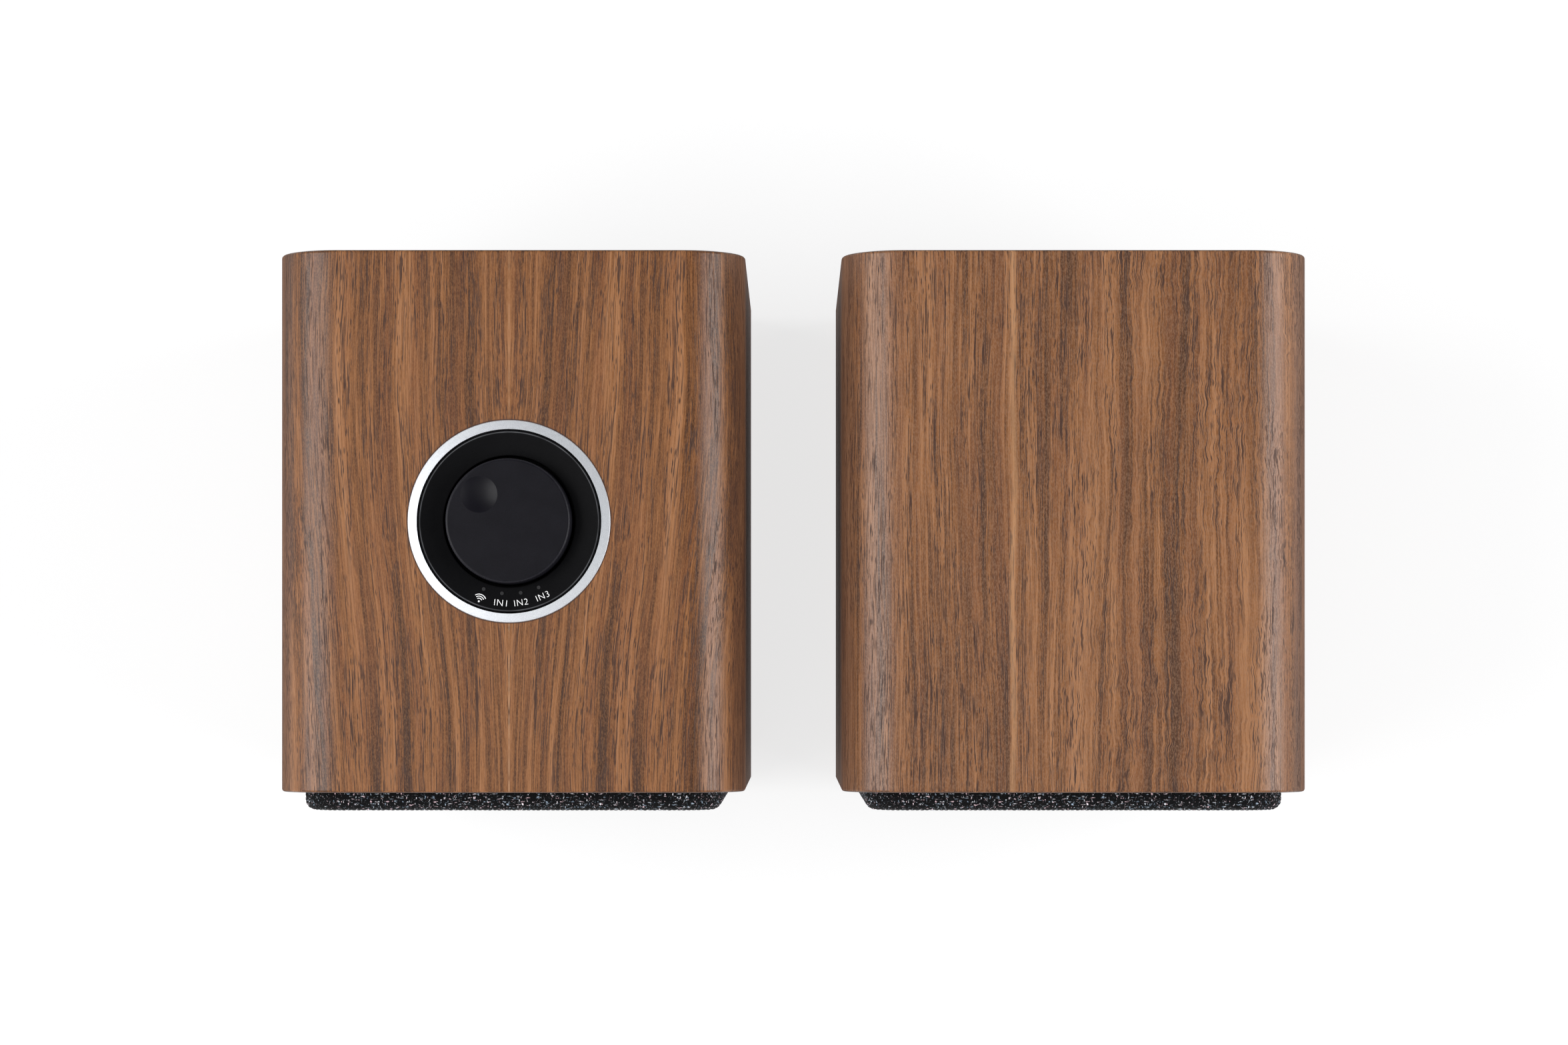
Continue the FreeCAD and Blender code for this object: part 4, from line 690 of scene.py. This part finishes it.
def rear_marks(ink):
    """Signs by the terminals, sockets and switch."""
    for side in SIDES:
        for name, sign, place, height in (
            ("plus", "+", POST_REACH, PLUS_HEIGHT),
            ("minus", "-", -POST_REACH, MINUS_HEIGHT),
        ):
            placed = on_back(side, place, POST_ROW + POST_SIGN_RISE, height)
            mark(f"{side}_mark_{name}", lettering(sign), placed, f"{side}_speaker", ink)
    for name, place in zip("LR", PHONO_PLACES):
        placed = on_back("left", place, SOCKET_ROW + PHONO_SIGN_RISE, SIGN_HEIGHT)
        mark(f"mark_phono_{name}", lettering(name), placed, "left_speaker", ink)
    for name, sign, rise in (("on", "I", SWITCH_SIGN_RISE), ("off", "O", -SWITCH_SIGN_RISE)):
        placed = on_back("left", SWITCH_PLACE, SWITCH_ROW + rise, SIGN_HEIGHT)
        mark(f"mark_switch_{name}", lettering(sign), placed, "left_speaker", ink)


# ---------------------------------------------------------------- woofer's soft rings

# How far the basket's face is behind the cabinet's front edge, and the woofer's height.
RECESS, WOOFER_HEIGHT = 2.7 * MM, 60 * MM
RING_STEPS, ROLL_STEPS, SPIDER_STEPS = 120, 16, 60
SPIDER_FOLD, SPIDER_FOLDS = 0.63 * MM, 6


def turned_piece(name, side, profile, material):
    """A closed ring about the woofer's axis. The profile is a closed loop of (depth, radius)."""
    centre = Vector((CENTRE_X[side], FRONT + RECESS, WOOFER_HEIGHT))
    angles = np.linspace(0, 2 * math.pi, RING_STEPS, endpoint=False)
    depth, radius = np.array(profile).T
    points = np.stack([
        centre.x + np.outer(np.cos(angles), radius),
        centre.y + np.outer(np.ones(RING_STEPS), depth),
        centre.z + np.outer(np.sin(angles), radius),
    ], axis=-1).reshape(-1, 3)
    count = len(profile)
    step, along = np.meshgrid(np.arange(RING_STEPS), np.arange(count), indexing="ij")
    after, beside = (step + 1) % RING_STEPS, (along + 1) % count
    corners = [step * count + along, step * count + beside,
               after * count + beside, after * count + along]
    faces = np.stack(corners, axis=-1).reshape(-1, 4)
    return mesh_piece(name, points, faces, material)


def flexing(piece, side, still, moving):
    """Bakes the piece's transform into its points and works out a share for each point, from 0
    outside the radius still to 1 inside the radius moving; the share isn't used, so nothing flexes."""
    centre = Vector((CENTRE_X[side], FRONT, WOOFER_HEIGHT))
    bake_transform(piece)
    places = [point.co - centre for point in piece.data.vertices]
    radius = np.array([math.hypot(place.x, place.z) for place in places])
    share = np.clip((still - radius) / (still - moving), 0, 1)
    share = (share * share * (3 - 2 * share)).astype(np.float32)


def woofer_surround(side, material):
    """The rubber half roll between the cone and the basket."""
    skin, inner, rim = 0.5 * MM, 28.7 * MM, 36.0 * MM
    start, end = 29.2 * MM, 33.8 * MM
    half = (end - start) / 2
    thin = half - skin
    angles = np.linspace(0, math.pi, ROLL_STEPS + 1)
    front = [(-skin - half * math.sin(a), start + half * (1 - math.cos(a))) for a in angles]
    back = [(-thin * math.sin(a), start + skin + thin * (1 - math.cos(a))) for a in angles[::-1]]
    profile = [(-skin, inner)] + front + [(-skin, rim), (0, rim)] + back + [(0, inner)]
    piece = turned_piece(f"{side}_surround", side, profile, material)
    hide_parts(f"{side}_woofer_surround")
    flexing(piece, side, end, start)


def woofer_spider(side, material):
    """The corrugated cloth disc that centres the coil."""
    skin, seat = 0.4 * MM, 13.5 * MM
    inner, wave_end, rim = 10.0 * MM, 25.2 * MM, 28.2 * MM
    radii = np.linspace(inner, wave_end, SPIDER_STEPS + 1)
    turns = (radii - inner) / (wave_end - inner) * SPIDER_FOLDS * 2 * math.pi
    depths = seat - SPIDER_FOLD * (1 - np.cos(turns))
    front = list(zip(depths, radii)) + [(seat, rim)]
    back = [(depth + skin, radius) for depth, radius in reversed(front)]
    piece = turned_piece(f"{side}_spider", side, front + back, material)
    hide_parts(f"{side}_woofer_spider")
    flexing(piece, side, wave_end, inner + 1.5 * MM)


# ---------------------------------------------------------------- stage

# Soft panels, all facing the dial: name, place, (width, height) and brightness.
PANELS = (
    ("left_panel", (-1.23, -0.1, 1.2), (1.2, 1.42), 4.8),
    ("right_panel", (1.33, -0.1, 1.07), (1.2, 1.1), 5.6),
    ("front_panel", (-0.5, -1.35, 1.1), (1.1, 0.5), 1.3),
    ("top_panel", (-0.35, -0.3, 2.0), (1.3, 1.3), 0.7),
)
SKY_COLOUR = (0.93, 0.96, 1.0, 1.0)
HORIZON_LIGHT, UPPER_LIGHT, UPPER_HEIGHT = 0.75, 0.15, 0.7
FLOOR_REACH, FLOOR_GLOW = 20.0, 0.75
FLOOR_GREY, WHITE = (0.25, 0.25, 0.25, 1.0), (1.0, 1.0, 1.0, 1.0)
CAMERA_RISE, CAMERA_FORWARD = 0.975, 45.6 * MM
CAMERA_LENS, CAMERA_SENSOR = 81.1, 36.0
CAMERA_SHIFT = (-0.006, 0.1046)


def surroundings():
    """A studio that is palest at the horizon and dim overhead."""
    world = bpy.data.worlds.new("studio")
    world.use_nodes = True
    nodes, links = world.node_tree.nodes, world.node_tree.links
    nodes["Background"].inputs["Color"].default_value = SKY_COLOUR
    direction = nodes.new("ShaderNodeSeparateXYZ")
    links.new(nodes.new("ShaderNodeTexCoord").outputs["Generated"], direction.inputs[0])
    fade = nodes.new("ShaderNodeMapRange")
    for key, value in (("From Min", 0.0), ("From Max", UPPER_HEIGHT),
                       ("To Min", HORIZON_LIGHT), ("To Max", UPPER_LIGHT)):
        fade.inputs[key].default_value = value
    links.new(direction.outputs["Z"], fade.inputs["Value"])
    links.new(fade.outputs[0], nodes["Background"].inputs["Strength"])
    bpy.context.scene.world = world


def pale_floor():
    """The plain paper that the speakers stand on, lit from within so that shadows stay faint."""
    mesh = bpy.data.meshes.new("floor")
    signs = ((-1, -1), (1, -1), (1, 1), (-1, 1))
    mesh.from_pydata([(x * FLOOR_REACH, y * FLOOR_REACH, 0) for x, y in signs], [], [(0, 1, 2, 3)])
    paper = Graph("pale_paper", Specular_IOR_Level=0.1, Roughness=0.9, Base_Color=FLOOR_GREY,
                  Emission_Color=WHITE, Emission_Strength=FLOOR_GLOW)
    mesh.materials.append(paper.material)
    floor = link(bpy.data.objects.new("floor", mesh))
    floor.location.z = CAD_BOX[0].z


def soft_panels():
    """The area lights, each as bright as its table row says whatever its size."""
    aim = Vector((0, DIAL.y, TOP))
    for name, place, size, brightness in PANELS:
        data = bpy.data.lights.new(name, "AREA")
        data.shape = "RECTANGLE"
        data.size, data.size_y = size
        data.energy = brightness * math.pi * size[0] * size[1]
        light = link(bpy.data.objects.new(name, data))
        light.location = place
        light.rotation_euler = (aim - Vector(place)).to_track_quat("-Z", "Y").to_euler()


def camera():
    """Straight down over the front half of the pair, shifted so that the whole pair is in frame."""
    data = bpy.data.cameras.new("camera")
    data.sensor_width = CAMERA_SENSOR
    data.lens = CAMERA_LENS
    data.shift_x, data.shift_y = CAMERA_SHIFT
    data.clip_start, data.clip_end = 0.05, 20.0
    made = link(bpy.data.objects.new("camera", data))
    made.location = (0.0, DIAL.y - CAMERA_FORWARD, TOP + CAMERA_RISE)
    bpy.context.scene.camera = made


# ---------------------------------------------------------------- putting it together


def give(material, *names):
    """Puts one material on the CAD nodes of these names."""
    for name in names:
        mesh = NODES[name].data
        mesh.materials.clear()
        mesh.materials.append(material)


def both(part):
    """The same part's node on each side."""
    return [f"{side}_{part}" for side in SIDES]


def dress_speakers():
    """Materials of the CAD nodes that both speakers have."""
    for side in SIDES:
        give(walnut(side), f"{side}_cabinet")
    give(stained_board(), *both("front_baffle"), *both("rear_panel"))
    give(moulded("foot_rubber", screen(28, 28, 29), 0.8, 0.4, 0.03), *both("feet"))
    give(moulded("grille_plastic", screen(22, 22, 24), 0.6), *both("grille_frame"))
    give(painted("basket_steel", screen(24, 24, 25)), *both("woofer_basket"))
    steel = metal("motor_steel", screen(178, 180, 186), 0.35)
    give(steel, *both("woofer_yoke"), *both("tweeter_magnet"))
    give(moulded("ferrite", screen(54, 54, 57), 0.55, 0.5, 0.04), *both("woofer_magnet"))
    give(painted("cone_metal", screen(40, 41, 45), 0.38, 2.0, 0.02), *both("woofer_cone"))
    wire = metal("copper_wire", screen(196, 120, 74), 0.3, (4, 0.4, 4))
    give(wire, *both("woofer_voice_coil"))
    plastic = moulded("driver_plastic", screen(17, 17, 18), 0.4, 0.35, 0.03)
    give(plastic, *both("tweeter_plate"))
    give(moulded("dome_silk", screen(30, 30, 33), 0.7, 0.25, 0.03), *both("tweeter_dome"))
    give(metal("screw_steel", screen(48, 48, 52), 0.35), *both("screws"))
    give(moulded("port_plastic", screen(28, 28, 30), 0.5, 0.35, 0.02), *both("port_tube"))
    gold = metal("contact_metal", screen(214, 178, 104), 0.25)
    give(gold, *both("binding_posts"), *both("black_washer"), *both("red_washer"))
    give(moulded("black_cap", screen(18, 18, 18), 0.3, 1.0, 0.01), *both("black_nut"))
    give(moulded("red_cap", screen(168, 22, 20), 0.3, 1.0, 0.01), *both("red_nut"))


def dress_dial_and_electronics():
    """Materials of the CAD nodes that only one speaker has, and of the circuit boards."""
    give(ring_finish(), "left_control_ring")
    give(dish_finish(), "left_control_dish")
    lens = moulded("lens_plastic", screen(16, 16, 18), 0.08, 0.5, 0.0)
    give(lens, "left_indicator_lenses")
    give(knob_finish(), "left_knob")
    give(metal("shaft_metal", screen(196, 196, 198), 0.3), "left_knob_shaft")
    encoder = moulded("component_plastic", screen(40, 40, 42), 0.5)
    give(encoder, "left_encoder", "left_encoder_rotor")
    give(painted("amp_metal", screen(30, 30, 31), 0.5), "left_amp_plate")
    board = moulded("circuit_board", screen(22, 84, 52), 0.35)
    give(board, "left_amp_board", "left_power_supply", "right_crossover_board")
    give(metal("socket_metal", screen(200, 200, 202), 0.25), "left_input_sockets")
    inlet = moulded("inlet_plastic", screen(20, 20, 21), 0.35, 0.5, 0.01)
    give(inlet, "left_mains_inlet")
    rocker = moulded("rocker_plastic", screen(18, 18, 19), 0.25, 0.5, 0.01)
    give(rocker, "left_power_rocker")


camera()
bpy.context.scene.view_settings.view_transform = "Standard"
surroundings()
pale_floor()
soft_panels()
dress_speakers()
dress_dial_and_electronics()
cloth = grille_weave()
rubber = moulded("surround_rubber", screen(13, 13, 14), 0.45, 0.5, 0.01)
stiffened_cloth = moulded("spider_fabric", screen(176, 142, 74), 0.85, 0.4, 0.08)
for side in SIDES:
    grille_cloth(side, cloth)
    woofer_surround(side, rubber)
    woofer_spider(side, stiffened_cloth)
white_ink = moulded("white_ink", screen(240, 240, 240), 0.6, 0.3, 0.004)
dial_marks(white_ink)
rear_marks(white_ink)
